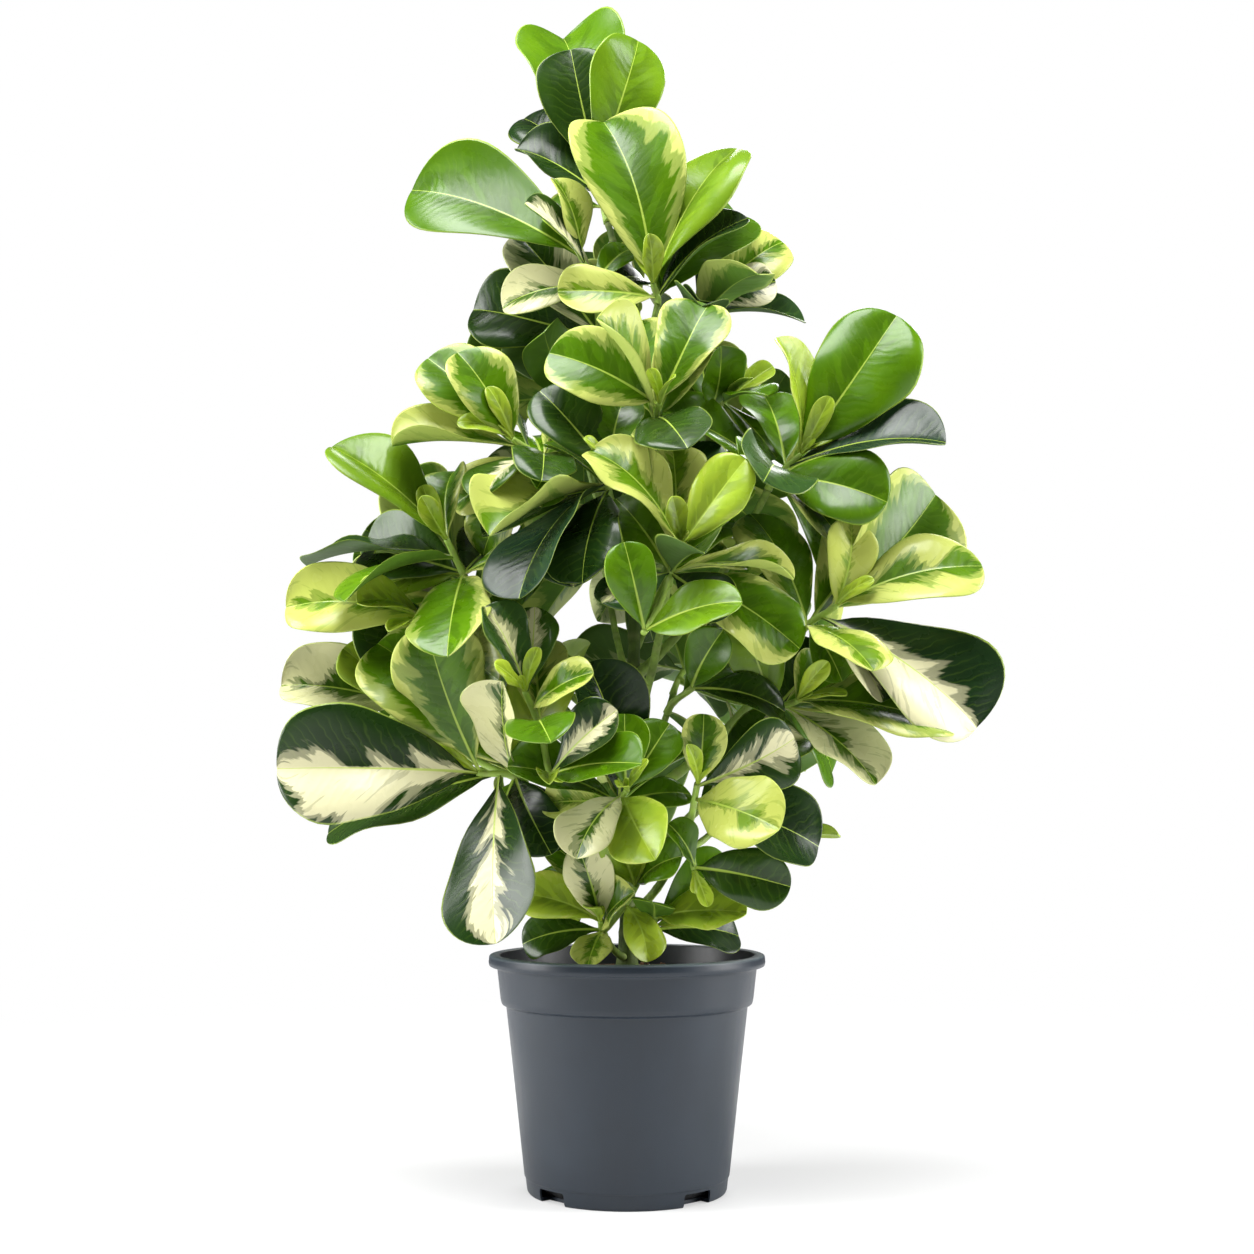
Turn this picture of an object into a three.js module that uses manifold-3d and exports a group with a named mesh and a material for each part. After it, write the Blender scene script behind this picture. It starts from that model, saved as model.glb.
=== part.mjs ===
// Potted variegated clusia: a bushy houseplant with thick paddle leaves in a round nursery pot.
// Millimetres, +Z up. The origin is on the ground under the middle of the pot.
// An azimuth is in degrees seen from above: 0 is the front (-Y), 90 the right (+X), 180 the back.
// A reach is a distance from the pot's axis, and a height is counted from the ground.
import * as THREE from 'three';
import { mergeVertices } from 'three/addons/utils/BufferGeometryUtils.js';
import Module from 'manifold-3d';

// Pot
const POT_HEIGHT = 200;
const POT_BASE_RADIUS = 86.5;
const POT_WALL = 2.6;
const FLOOR_THICKNESS = 3;
const BAND_BOTTOM = 158;
const BAND_STEP = 4.5;
const BAND_RADIUS = 109;
const NECK_RADIUS = 112.5;
const RIM_RADIUS = 120;
const RIM_DEPTH = 10;
const NOTCH_COUNT = 4;
const NOTCH_FIRST = 43;
const NOTCH_SPACING = 90;
const NOTCH_WIDTH = 30;
const NOTCH_HEIGHT = 11;
const NOTCH_INNER_REACH = 74;
const POT_SIDES = 30;

// Soil
const SOIL_TOP = 182;
const SOIL_FOOT_CHAMFER = 16;
const GAP = 0.3;

// Trunk, from its flat cut at the soil to the foot of the top mass
const TRUNK_POINTS = [[0, 0, SOIL_TOP + GAP], [0, 0, 400], [26, -4, 720], [-18, 34, 866]];
const TRUNK_FOOT_RADIUS = 7;
const TRUNK_TIP_RADIUS = 3;
const FLARE_RADIUS = 4;
const FLARE_HEIGHT = 12;

// Boughs: name, height on the trunk, azimuth, reach and height of the tip, radius at foot and tip
const BOUGHS = [
  ['leader_front', 700, 65, 30, 775, 3.2, 2.8],
  ['leader_left', 690, -60, 30, 780, 3.2, 2.8],
  ['crown_right', 655, 110, 60, 750, 3.4, 2.8],
  ['crown_front', 590, 25, 55, 650, 3.6, 2.8],
  ['shoulder_left', 516, -65, 75, 620, 4.2, 3],
  ['shoulder_front', 538, -15, 55, 590, 3.6, 2.8],
  ['shoulder_right', 440, 70, 130, 600, 4.6, 3],
  ['waist_front', 386, 20, 100, 510, 4.2, 3],
  ['waist_right', 330, 65, 160, 470, 5, 3.2],
  ['waist_left', 366, -75, 140, 515, 4.8, 3],
  ['skirt_left', 264, -55, 105, 345, 4.8, 3.2],
  ['skirt_front_left', 300, -35, 115, 380, 4.2, 3],
  ['skirt_right', 278, 65, 130, 400, 4.6, 3],
  ['skirt_front_right', 232, 30, 95, 300, 4.2, 3],
  ['skirt_front', 249, -5, 85, 320, 3.6, 2.8],
  ['waist_centre', 350, 25, 80, 405, 3.6, 2.8],
  ['upper_right', 600, 80, 60, 660, 3.6, 2.8],
  ['foot_left', 196, -25, 45, 218, 3.2, 2.6],
  ['foot_right', 210, 25, 45, 218, 3.2, 2.6],
];

// Masses: name, bough, and the shoots. A shoot has the share of the main twig where it leaves, the
// azimuth, reach and height of its tip, the azimuth that its leaves turn to, its count of leaf pairs,
// and its leading leaves, each with the azimuth, rise, length and roll of its blade.
const MASSES = [
  ['top_front', 'leader_front', [
    [0, 50, 30, 792, 0, 1, [[-110, 74, 176, 0], [100, 62, 158, -35], [125, 47, 135, 0]]],
  ]],
  ['top_back', 'trunk', [
    [0, -145, 45, 925, 0, 2, [[-145, 68, 174, 0], [66, 70, 124, 30], [-60, 75, 126, 0], [-115, 45, 118, 0],
      [-85, 30, 95, 0]]],
  ]],
  ['top_left', 'leader_left', [
    [0, -70, 45, 820, 0, 2, [[-55, 70, 75, 30], [-95, 25, 174, 0], [-50, 35, 85, 25]]],
    [0.2, -130, 30, 750, 0, 1, [[-92, 16, 126, -25], [-66, 56, 140, 20]]],
  ]],
  ['crown_right', 'crown_right', [
    [0, 110, 75, 790, 30, 2, [[100, 45, 106, 0], [80, 15, 70, 30], [84, 14, 124, -40], [150, 45, 110, 0]]],
  ]],
  ['crown_front', 'crown_front', [
    [0, 20, 80, 670, 0, 2, [[94, 66, 104, 0], [-80, 25, 105, -20], [15, -25, 100, 0]]],
  ]],
  ['shoulder_front', 'shoulder_front', [
    [0, -10, 85, 610, 0, 2, [[-100, 50, 95, 0], [-170, 80, 75, 0], [-45, -45, 150, 50], [-55, -25, 130, 25],
      [-25, -50, 115, 20]]],
  ]],
  ['shoulder_left', 'shoulder_left', [
    [0, -65, 110, 645, 0, 2, [[-95, 44, 108, 0], [-72, 57, 92, 0], [-120, 56, 138, 45], [-78, 0, 120, 25],
      [-35, -25, 100, 30], [-100, -25, 90, 0]]],
  ]],
  ['waist_front', 'waist_front', [
    [0, 20, 130, 540, 0, 2, [[65, 50, 90, 0], [-95, 50, 115, 25], [-175, 80, 105, 0], [-140, 75, 135, 30],
      [130, 60, 140, 0], [72, -3, 106, -25]]],
    [0.1, 5, 150, 465, 0, 0, [[-40, 70, 74, 0], [60, 15, 88, 0]]],
  ]],
  ['shoulder_right', 'shoulder_right', [
    [0, 70, 160, 630, 20, 2, [[85, 55, 150, 0], [-25, 70, 105, 35], [74, 8, 140, -20], [-165, 55, 95, 0],
      [50, -15, 115, 40], [125, 20, 105, 0]]],
  ]],
  ['waist_right', 'waist_right', [
    [0, 65, 195, 495, 20, 2, [[80, 15, 127, 0], [50, 75, 75, 0], [80, -35, 162, 0], [100, 45, 160, 30],
      [25, -20, 110, 0], [125, 48, 150, 0]]],
  ]],
  ['skirt_right', 'skirt_right', [
    [0, 60, 165, 415, 20, 2, [[70, -13, 145, 0], [115, 60, 50, 0], [58, -36, 108, 0], [140, -35, 95, 0]]],
  ]],
  ['skirt_front_right', 'skirt_front_right', [
    [0, 25, 135, 345, 0, 2, [[20, 75, 60, 0], [85, 25, 90, 35], [40, -12, 98, 15], [95, -20, 110, 0]]],
    [0, 30, 110, 275, 0, 2, [[65, -10, 85, 25], [-50, 55, 45, 30]]],
  ]],
  ['waist_left', 'waist_left', [
    [0, -70, 165, 555, -20, 2, [[-85, 40, 130, 35], [-145, 80, 85, 0], [-50, -20, 120, 30],
      [-100, 0, 135, 40], [-120, 15, 110, 0]]],
    [0, -70, 185, 485, -20, 2, [[-90, 5, 120, 0], [-45, 10, 70, 0]]],
  ]],
  ['skirt_left', 'skirt_left', [
    [0, -60, 145, 355, -20, 2, [[-72, 1, 170, -25], [-50, 65, 135, 0], [-95, -16, 158, 10],
      [0, -60, 155, 22], [-5, 45, 105, 0], [-85, 45, 165, 0], [35, -48, 85, 0], [72, -50, 75, 0]]],
    [0.2, -80, 195, 415, -20, 2, [[-85, 10, 110, 0], [-65, 40, 75, 0]]],
  ]],
  ['skirt_front_left', 'skirt_front_left', [
    [0, -35, 145, 420, 0, 1, [[-75, 65, 80, 30], [180, 80, 80, 0], [50, 25, 70, 0]]],
    [0.1, -25, 145, 350, 0, 2, [[60, 40, 80, 0], [50, 5, 95, 0]]],
  ]],
  ['skirt_front', 'skirt_front', [
    [0, 0, 130, 340, 0, 2, [[-45, 60, 75, 0], [70, 65, 70, 25], [-35, -35, 80, 20], [20, -35, 85, 20]]],
  ]],
  ['waist_centre', 'waist_centre', [
    [0, 30, 110, 425, 0, 0, [[95, -12, 82, 0], [40, 50, 60, 20], [120, 40, 85, 0]]],
  ]],
  ['upper_right', 'upper_right', [
    [0, 75, 90, 685, 15, 2, [[30, -5, 70, 0], [65, -50, 80, 20], [-155, 70, 75, 0], [10, 40, 70, 0]]],
  ]],
  ['foot_left', 'foot_left', [
    [0, -20, 65, 232, -10, 1, [[-75, 20, 74, 0], [-30, 60, 74, 0], [-85, -8, 70, 0], [5, 25, 75, 25],
      [-10, -25, 60, 0]]],
    [0.1, 8, 62, 262, 0, 1, [[-30, 55, 72, 0], [55, 20, 74, 0], [8, -40, 66, 0]]],
  ]],
  ['foot_right', 'foot_right', [
    [0, 20, 70, 236, 10, 1, [[150, 75, 95, 0], [60, 5, 85, 0], [25, -12, 75, 0], [70, 40, 80, 0],
      [105, -4, 78, 0]]],
  ]],
];

// Back of the crown, which the front hides: masses spaced round it by the golden share, bottom to top
const BACK_COUNT = 9;
const BACK_FIRST_HEIGHT = 290;
const BACK_LAST_HEIGHT = 790;
const BACK_FIRST_AZIMUTH = 105;
const BACK_SPREAD = 150;
const GOLDEN_SHARE = 0.618;
const BACK_REACH = [[280, 115], [400, 190], [520, 195], [640, 140], [800, 65]];
const BACK_PAIRS = [4, 4];
const BACK_SIDE_SHARE = 0.1;
const BACK_SIDE_TURN = 32;
const BACK_SIDE_REACH = 0.9;
const BACK_SIDE_DROP = 55;
const BACK_FOOT_RISE = 0.6;
const BACK_FOOT_DROP = 10;
const BACK_TIP_REACH = 0.6;
const BACK_TIP_DROP = 45;
const BACK_FOOT_RADIUS = 3.8;
const BACK_FOOT_TAPER = 0.1;
const BACK_TIP_RADIUS = 2.8;

// How far from the axis the leaves that fill the crown may reach, at rising heights
const CROWN_REACH = [[180, 80], [250, 105], [300, 130], [340, 170], [390, 245], [530, 275],
  [600, 250], [650, 210], [770, 150], [850, 120], [950, 90], [1060, 45], [1200, 45]];

// Leaf blades
const LEAF_STATIONS = [0, 0.2, 0.52, 0.84, 1];
const LEAF_CORNERS = 4;
const BLADE_START = 0.08;
const LEAF_THICKNESS = 2.4;
const PETIOLE_HALF_WIDTH = 2.2;
const ROOT_HALF_WIDTH = 1;
const OUTLINE_FALL = 2.2;
const OUTLINE_ROUND = 0.55;
const OUTLINE_PEAK = 0.5;
const WIDTH_SHARE = [0.58, 0.7];
const BEND = [0.35, 0.8];
const FOLD = [9, 20];

// How leaves stand on a shoot: in pairs, each pair across the last, upper side to the light
const LIGHT_RISE = 22;
const LIGHT_LIFT = 0.2;
const INTERNODE = 16;
const FIRST_NODE = 0.2;
const LOWEST_ROOT = 0.25;
const PAIR_SIZE = [100, 150];
const PAIR_LEAN = 40;
const PAIR_LEAN_STEP = 14;
const PAIR_LEAN_MOST = 95;
const PAIR_LEAN_SPREAD = 8;
const PAIR_TURN = 90;
const PAIR_ROLL = 25;
const PAIR_DRAWS = 99;

// How far a leaf keeps clear of others, and how it moves when it does not
const SIBLING_START = 0.36;
const CLEARANCE = 1;
const SOIL_CLEARANCE = 5;
const RIM_MARGIN = 6;
const TRIES = 16;
const SWING_STEP = 0.06;
const TILT_STEP = 4;
const SHRINK_STEP = 0.015;

// Limbs and twigs
const TRUNK_SIDES = 9;
const TRUNK_STEPS = 12;
const BOUGH_SIDES = 5;
const BOUGH_STEPS = 4;
const TWIG_SIDES = 3;
const TWIG_STEPS = 3;
const TWIG_TIP_RADIUS = 2.6;
const BRANCH_RADIUS = 2.8;
const SIDE_TWIG_SHARE = 0.22;
const BOUGH_SAG = 0.12;
const BRANCH_SAG = 0.1;
const SAG_START = 0.35;
const SAG_END = 0.72;
const TWIG_START_PULL = 0.4;
const TWIG_END_PULL = 0.3;
const STEEP = 0.9;
const HALVINGS = 30;

const UP = new THREE.Vector3(0, 0, 1);
const BACKWARD = new THREE.Vector3(0, 1, 0);
const wasm = await Module();
wasm.setup();

const plastic = new THREE.MeshStandardMaterial({ color: 0x4b525a, roughness: 0.55, metalness: 0 });
const earth = new THREE.MeshStandardMaterial({ color: 0x3a2a1e, roughness: 0.95, metalness: 0 });
const bark = new THREE.MeshStandardMaterial({ color: 0x6f7a3c, roughness: 0.75, metalness: 0 });
const foliage = new THREE.MeshStandardMaterial({ color: 0x4f8a2a, roughness: 0.35, metalness: 0 });

// Repeatable draws: a whole number stepped by a fixed rule, started from the shoot and the leaf
const DRAW_START = [7919, 104729, 12345];
const DRAW_STEP = [1664525, 1013904223];
const DRAW_RANGE = 2 ** 32;

function drawsFor(shoot, leaf) {
  let state = (shoot * DRAW_START[0] + leaf * DRAW_START[1] + DRAW_START[2]) >>> 0;
  const next = () => {
    state = (Math.imul(state, DRAW_STEP[0]) + DRAW_STEP[1]) >>> 0;
    return state / DRAW_RANGE;
  };
  next();
  next();
  return (low, high) => low + (high - low) * next();
}

function radians(degrees) {
  return degrees * Math.PI / 180;
}

function direction(azimuth, rise) {
  const flat = Math.cos(radians(rise));
  const turn = radians(azimuth);
  return new THREE.Vector3(flat * Math.sin(turn), -flat * Math.cos(turn), Math.sin(radians(rise)));
}

// A unit direction turned by an angle toward another that stands square to it
function leaned(from, toward, angle) {
  return from.clone().multiplyScalar(Math.cos(angle)).addScaledVector(toward, Math.sin(angle));
}

function place(azimuth, reach, height) {
  return direction(azimuth, 0).multiplyScalar(reach).setZ(height);
}

// A value between the rows of a table of pairs
function between(rows, key) {
  const next = Math.max(1, rows.findIndex(([start]) => start >= key));
  const [low, high] = [rows[next - 1], rows[next]];
  return low[1] + (high[1] - low[1]) * (key - low[0]) / (high[0] - low[0]);
}

// A direction that is well across the given one
function crossReference(axis) {
  return Math.abs(axis.z) > STEEP ? BACKWARD : UP;
}

// A limb runs along a cubic curve; its radius is a function of the share of the curve
function limb(points, radius, sides, steps) {
  const curve = new THREE.CubicBezierCurve3(...points);
  const reference = crossReference(points[3].clone().sub(points[0]).normalize());
  return { curve, reference, radius, sides, steps };
}

function taper(footRadius, tipRadius) {
  return (share) => footRadius + (tipRadius - footRadius) * share;
}

// The four points of a curve that hangs a little below the straight line from foot to tip
function saggingPoints(foot, tip, sagShare) {
  const span = tip.clone().sub(foot);
  const sag = sagShare * span.length();
  const middle = (share) => foot.clone().addScaledVector(span, share).addScaledVector(UP, -sag);
  return [foot, middle(SAG_START), middle(SAG_END), tip];
}

function limbPoint(part, share, across, up, extra) {
  const tangent = part.curve.getTangent(share);
  const side = tangent.clone().cross(part.reference).normalize();
  const normal = side.clone().cross(tangent);
  const radius = part.radius(share) + extra;
  const middle = part.curve.getPoint(share);
  return middle.addScaledVector(side, across * radius).addScaledVector(normal, up * radius);
}

// Half width of a blade that is widest two thirds of the way to its tip, on a short stalk
function halfWidth(leaf, share) {
  const blade = Math.max(0, (share - BLADE_START) / (1 - BLADE_START));
  const outline = blade * (1 - blade ** OUTLINE_FALL) ** OUTLINE_ROUND / OUTLINE_PEAK;
  const stalk = share === 0 ? ROOT_HALF_WIDTH : PETIOLE_HALF_WIDTH * Math.sign(1 - share);
  return Math.max(stalk, leaf.width / 2 * outline);
}

// A leaf's blade bends away from its upper side as an arc, and folds up along its midrib
function leafPoint(leaf, share, across, up, extra) {
  const angle = leaf.bend * share;
  const arc = leaf.length * (leaf.bend / 2) / Math.sin(leaf.bend / 2) / leaf.bend;
  const normal = leaned(leaf.normal, leaf.along, angle);
  const width = halfWidth(leaf, share) + extra;
  const halfThickness = share === 0 ? ROOT_HALF_WIDTH : LEAF_THICKNESS / 2 + extra;
  const lift = Math.abs(across) * width * Math.sin(leaf.fold) + up * halfThickness;
  return leaf.root.clone()
    .addScaledVector(leaf.along, arc * Math.sin(angle))
    .addScaledVector(leaf.normal, -arc * (1 - Math.cos(angle)))
    .addScaledVector(leaf.side, across * width * Math.cos(leaf.fold))
    .addScaledVector(normal, lift);
}

// The blade's frame: its chord runs from root to tip, and its upper side turns to the light, then rolls
function makeLeaf(root, chord, light, length, roll, draw) {
  const width = length * draw(...WIDTH_SHARE);
  const bend = draw(...BEND);
  const fold = radians(draw(...FOLD));
  const facing = light.clone().addScaledVector(UP, LIGHT_LIFT);
  facing.addScaledVector(chord, -facing.dot(chord)).normalize().applyAxisAngle(chord, radians(roll));
  const along = leaned(chord, facing, bend / 2);
  const normal = leaned(facing, chord, -bend / 2);
  const side = along.clone().cross(normal);
  return { root, along, normal, side, length, width, bend, fold };
}

// A skin is a coarse set of corner points, edges and faces that stands for a piece when leaves are placed
function makeSkin(rings, tip) {
  const points = rings.flat();
  const corners = rings[0].length;
  const edges = [];
  const faces = [];
  rings.forEach((ring, row) => {
    for (let k = 0; k < corners; k += 1) {
      const here = row * corners + k;
      const beside = row * corners + (k + 1) % corners;
      edges.push([here, beside]);
      if (row + 1 < rings.length) {
        edges.push([here, here + corners]);
        faces.push([here, beside, beside + corners], [here, beside + corners, here + corners]);
      } else if (tip) {
        edges.push([here, points.length]);
        faces.push([here, beside, points.length]);
      }
    }
  });
  if (tip) points.push(tip);
  return { points, edges, faces, box: new THREE.Box3().setFromPoints(points) };
}

function leafRing(leaf, share, extra) {
  return Array.from({ length: LEAF_CORNERS }, (_, k) => {
    const turn = k * Math.PI / 2;
    return leafPoint(leaf, share, Math.round(Math.sin(turn)), Math.round(Math.cos(turn)), extra);
  });
}

// Two skins of a leaf: the whole of it, and the outer part that leaves of the same shoot keep clear of
function leafSkins(leaf, extra) {
  const rings = LEAF_STATIONS.slice(0, -1).map((share) => leafRing(leaf, share, extra));
  const tip = leafPoint(leaf, 1, 0, 0, 0);
  const share = (SIBLING_START - LEAF_STATIONS[1]) / (LEAF_STATIONS[2] - LEAF_STATIONS[1]);
  const start = rings[1].map((point, k) => point.clone().lerp(rings[2][k], share));
  return { full: makeSkin(rings, tip), outer: makeSkin([start, ...rings.slice(2)], tip) };
}

function limbSkin(part, extra) {
  const rings = [];
  for (let row = 0; row <= part.steps; row += 1) {
    const turns = Array.from({ length: part.sides }, (_, k) => k * 2 * Math.PI / part.sides);
    const share = row / part.steps;
    rings.push(turns.map((turn) => limbPoint(part, share, Math.sin(turn), Math.cos(turn), extra)));
  }
  return makeSkin(rings, null);
}

const edgeA = new THREE.Vector3();
const edgeB = new THREE.Vector3();
const stretch = new THREE.Vector3();
const offset = new THREE.Vector3();
const turned = new THREE.Vector3();

// Whether the stretch from start to end passes through a triangle
function pierces(start, end, a, b, c) {
  edgeA.subVectors(b, a);
  edgeB.subVectors(c, a);
  stretch.subVectors(end, start);
  turned.crossVectors(stretch, edgeB);
  const scale = edgeA.dot(turned);
  if (scale === 0) return false;
  offset.subVectors(start, a);
  const first = offset.dot(turned) / scale;
  if (first < 0 || first > 1) return false;
  offset.cross(edgeA);
  const second = stretch.dot(offset) / scale;
  if (second < 0 || first + second > 1) return false;
  const share = edgeB.dot(offset) / scale;
  return share >= 0 && share <= 1;
}

function edgesPierce(one, other) {
  return one.edges.some(([i, j]) => {
    const start = one.points[i];
    const end = one.points[j];
    const box = new THREE.Box3().setFromPoints([start, end]);
    if (!box.intersectsBox(other.box)) return false;
    return other.faces.some((face) => pierces(start, end, ...face.map((corner) => other.points[corner])));
  });
}

function touches(one, other) {
  return one.box.intersectsBox(other.box) && (edgesPierce(one, other) || edgesPierce(other, one));
}

// A leaf stays over the soil and the rim of the pot
function clearOfPot(skin) {
  return skin.points.every((point) => {
    const overSoil = Math.hypot(point.x, point.y) < NECK_RADIUS - POT_WALL - RIM_MARGIN;
    return point.z > (overSoil ? SOIL_TOP : POT_HEIGHT) + SOIL_CLEARANCE;
  });
}

// Closed surfaces: a cylinder bent along a limb, and a four-sided cone spread into a leaf
function mapVertices(geometry, steps, map) {
  const positions = geometry.attributes.position;
  for (let i = 0; i < positions.count; i += 1) {
    const row = Math.round((positions.getY(i) + 0.5) * steps);
    const x = positions.getX(i);
    const z = positions.getZ(i);
    const length = Math.hypot(x, z);
    const scale = length > 1e-6 ? 1 / length : 0;
    const point = map(row, x * scale, z * scale);
    positions.setXYZ(i, point.x, point.y, point.z);
  }
  return geometry;
}

function limbGeometry(part, extra = 0) {
  const geometry = new THREE.CylinderGeometry(1, 1, 1, part.sides, part.steps);
  return mapVertices(geometry, part.steps, (row, x, z) => limbPoint(part, row / part.steps, x, z, extra));
}

function leafGeometry(leaf) {
  const steps = LEAF_STATIONS.length - 1;
  const geometry = new THREE.ConeGeometry(1, 1, LEAF_CORNERS, steps);
  return mapVertices(geometry, steps, (row, x, z) => leafPoint(leaf, LEAF_STATIONS[row], x, z, 0));
}

function toSolid(geometry) {
  const plain = geometry.clone();
  plain.deleteAttribute('normal');
  plain.deleteAttribute('uv');
  const merged = mergeVertices(plain, 1e-4);
  const mesh = new wasm.Mesh({
    numProp: 3,
    vertProperties: new Float32Array(merged.attributes.position.array),
    triVerts: new Uint32Array(merged.index.array),
  });
  mesh.merge();
  return new wasm.Manifold(mesh);
}

function toGeometry(solid) {
  const mesh = solid.getMesh();
  const geometry = new THREE.BufferGeometry();
  geometry.setAttribute('position', new THREE.BufferAttribute(mesh.vertProperties, 3));
  geometry.setIndex(new THREE.BufferAttribute(mesh.triVerts, 1));
  geometry.computeVertexNormals();
  return geometry;
}

const plant = new THREE.Group();
plant.name = 'potted_variegated_clusia';

function addPiece(name, geometry, material) {
  const piece = new THREE.Mesh(geometry, material);
  piece.name = name;
  plant.add(piece);
}

// Pot: outer wall with a step under the band and a rolled rim, then the inner wall down to the floor
const POT_INSIDE = [
  [FLOOR_THICKNESS, POT_BASE_RADIUS - POT_WALL],
  [BAND_BOTTOM, BAND_RADIUS - BAND_STEP - POT_WALL],
  [BAND_BOTTOM + 4, BAND_RADIUS - POT_WALL],
  [POT_HEIGHT - 1, NECK_RADIUS - POT_WALL],
];

function potGeometry() {
  const inner = POT_INSIDE.map(([height, radius]) => [radius, height]).reverse();
  const outline = [
    [0, 0],
    [POT_BASE_RADIUS - 1.5, 0],
    [POT_BASE_RADIUS, 1.5],
    [BAND_RADIUS - BAND_STEP, BAND_BOTTOM],
    [BAND_RADIUS, BAND_BOTTOM + 1.5],
    [NECK_RADIUS, POT_HEIGHT - RIM_DEPTH],
    [RIM_RADIUS - 1, POT_HEIGHT - RIM_DEPTH],
    [RIM_RADIUS, POT_HEIGHT - RIM_DEPTH + 2],
    [RIM_RADIUS, POT_HEIGHT - 2],
    [RIM_RADIUS - 2, POT_HEIGHT],
    [NECK_RADIUS - POT_WALL + 1, POT_HEIGHT],
    ...inner,
    [0, FLOOR_THICKNESS],
  ];
  const profile = outline.map(([radius, height]) => new THREE.Vector2(radius, height));
  return new THREE.LatheGeometry(profile, POT_SIDES).rotateX(Math.PI / 2);
}

function notchGeometry(azimuth) {
  const depth = POT_BASE_RADIUS + 10 - NOTCH_INNER_REACH;
  const box = new THREE.BoxGeometry(NOTCH_WIDTH, depth, 2 * NOTCH_HEIGHT);
  box.translate(0, -(NOTCH_INNER_REACH + depth / 2), 0);
  return box.rotateZ(radians(azimuth));
}

function buildPot() {
  let solid = toSolid(potGeometry());
  for (let i = 0; i < NOTCH_COUNT; i += 1) {
    solid = solid.subtract(toSolid(notchGeometry(NOTCH_FIRST + i * NOTCH_SPACING)));
  }
  addPiece('pot', toGeometry(solid), plastic);
}

function buildSoil() {
  const heights = [SOIL_FOOT_CHAMFER, BAND_BOTTOM, BAND_BOTTOM + 4, SOIL_TOP];
  const side = heights.map((height) => [between(POT_INSIDE, height) - GAP, height]);
  const profile = [
    [0, FLOOR_THICKNESS + GAP],
    [NOTCH_INNER_REACH - GAP, FLOOR_THICKNESS + GAP],
    ...side,
    [0, SOIL_TOP],
  ].map(([radius, height]) => new THREE.Vector2(radius, height));
  addPiece('soil', new THREE.LatheGeometry(profile, POT_SIDES).rotateX(Math.PI / 2), earth);
}

buildPot();
buildSoil();

// Trunk and boughs
function trunkRadius(share) {
  const risen = share * 3 * (TRUNK_POINTS[1][2] - TRUNK_POINTS[0][2]);
  return TRUNK_FOOT_RADIUS + (TRUNK_TIP_RADIUS - TRUNK_FOOT_RADIUS) * share
    + FLARE_RADIUS * Math.exp(-risen / FLARE_HEIGHT);
}

const trunkPoints = TRUNK_POINTS.map((point) => new THREE.Vector3(...point));
const trunk = limb(trunkPoints, trunkRadius, TRUNK_SIDES, TRUNK_STEPS);

// The share of the trunk's curve at a height, by halving
function trunkShare(height) {
  let low = 0;
  let high = 1;
  for (let i = 0; i < HALVINGS; i += 1) {
    const middle = (low + high) / 2;
    if (trunk.curve.getPoint(middle).z < height) low = middle;
    else high = middle;
  }
  return low;
}

const limbs = new Map([['trunk', trunk]]);

// What a new leaf has to keep clear of: limbs, twigs and the leaves before it. Within a group only
// the outer part of the leaf counts: the leaves of its own shoot and the twigs of its own mass.
const obstacles = [];

function addLimbObstacle(part, group) {
  const skin = limbSkin(part, CLEARANCE);
  obstacles.push({ group, full: skin, outer: skin });
}

addLimbObstacle(trunk, 'wood');

// Limbs grown by the gap, which later boughs are cut clear of where they leave the trunk
const widerLimbs = [{ box: limbSkin(trunk, GAP).box, solid: toSolid(limbGeometry(trunk, GAP)) }];

function buildBough([name, height, azimuth, reachOut, tipHeight, footRadius, tipRadius]) {
  const foot = trunk.curve.getPoint(trunkShare(height));
  const points = saggingPoints(foot, place(azimuth, reachOut, tipHeight), BOUGH_SAG);
  const bough = limb(points, taper(footRadius, tipRadius), BOUGH_SIDES, BOUGH_STEPS);
  limbs.set(name, bough);
  addLimbObstacle(bough, 'wood');
  let solid = toSolid(limbGeometry(bough));
  const box = limbSkin(bough, GAP).box;
  widerLimbs.filter((other) => other.box.intersectsBox(box)).forEach((other) => {
    solid = solid.subtract(other.solid);
  });
  widerLimbs.push({ box, solid: toSolid(limbGeometry(bough, GAP)) });
  addPiece(`bough_${name}`, toGeometry(solid), bark);
}

function backRow(index) {
  const height = BACK_FIRST_HEIGHT + (BACK_LAST_HEIGHT - BACK_FIRST_HEIGHT) * index / (BACK_COUNT - 1);
  const azimuth = BACK_FIRST_AZIMUTH + BACK_SPREAD * ((0.5 + GOLDEN_SHARE * index) % 1);
  const outward = between(BACK_REACH, height);
  const name = `back_${index + 1}`;
  const foot = SOIL_TOP + BACK_FOOT_RISE * (height - SOIL_TOP) - BACK_FOOT_DROP;
  const radius = BACK_FOOT_RADIUS - BACK_FOOT_TAPER * index;
  const side = azimuth + (index % 2 === 0 ? BACK_SIDE_TURN : -BACK_SIDE_TURN);
  const sideReach = BACK_SIDE_REACH * outward;
  return {
    bough: [name, foot, azimuth, BACK_TIP_REACH * outward, height - BACK_TIP_DROP, radius, BACK_TIP_RADIUS],
    mass: [name, name, [
      [0, azimuth, outward, height, azimuth, BACK_PAIRS[0], []],
      [BACK_SIDE_SHARE, side, sideReach, height - BACK_SIDE_DROP, side, BACK_PAIRS[1], []],
    ]],
  };
}

const backRows = Array.from({ length: BACK_COUNT }, (_, index) => backRow(index));
const allMasses = [...MASSES, ...backRows.map((row) => row.mass)];

addPiece('trunk', limbGeometry(trunk), bark);
[...BOUGHS, ...backRows.map((row) => row.bough)].forEach(buildBough);

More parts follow.
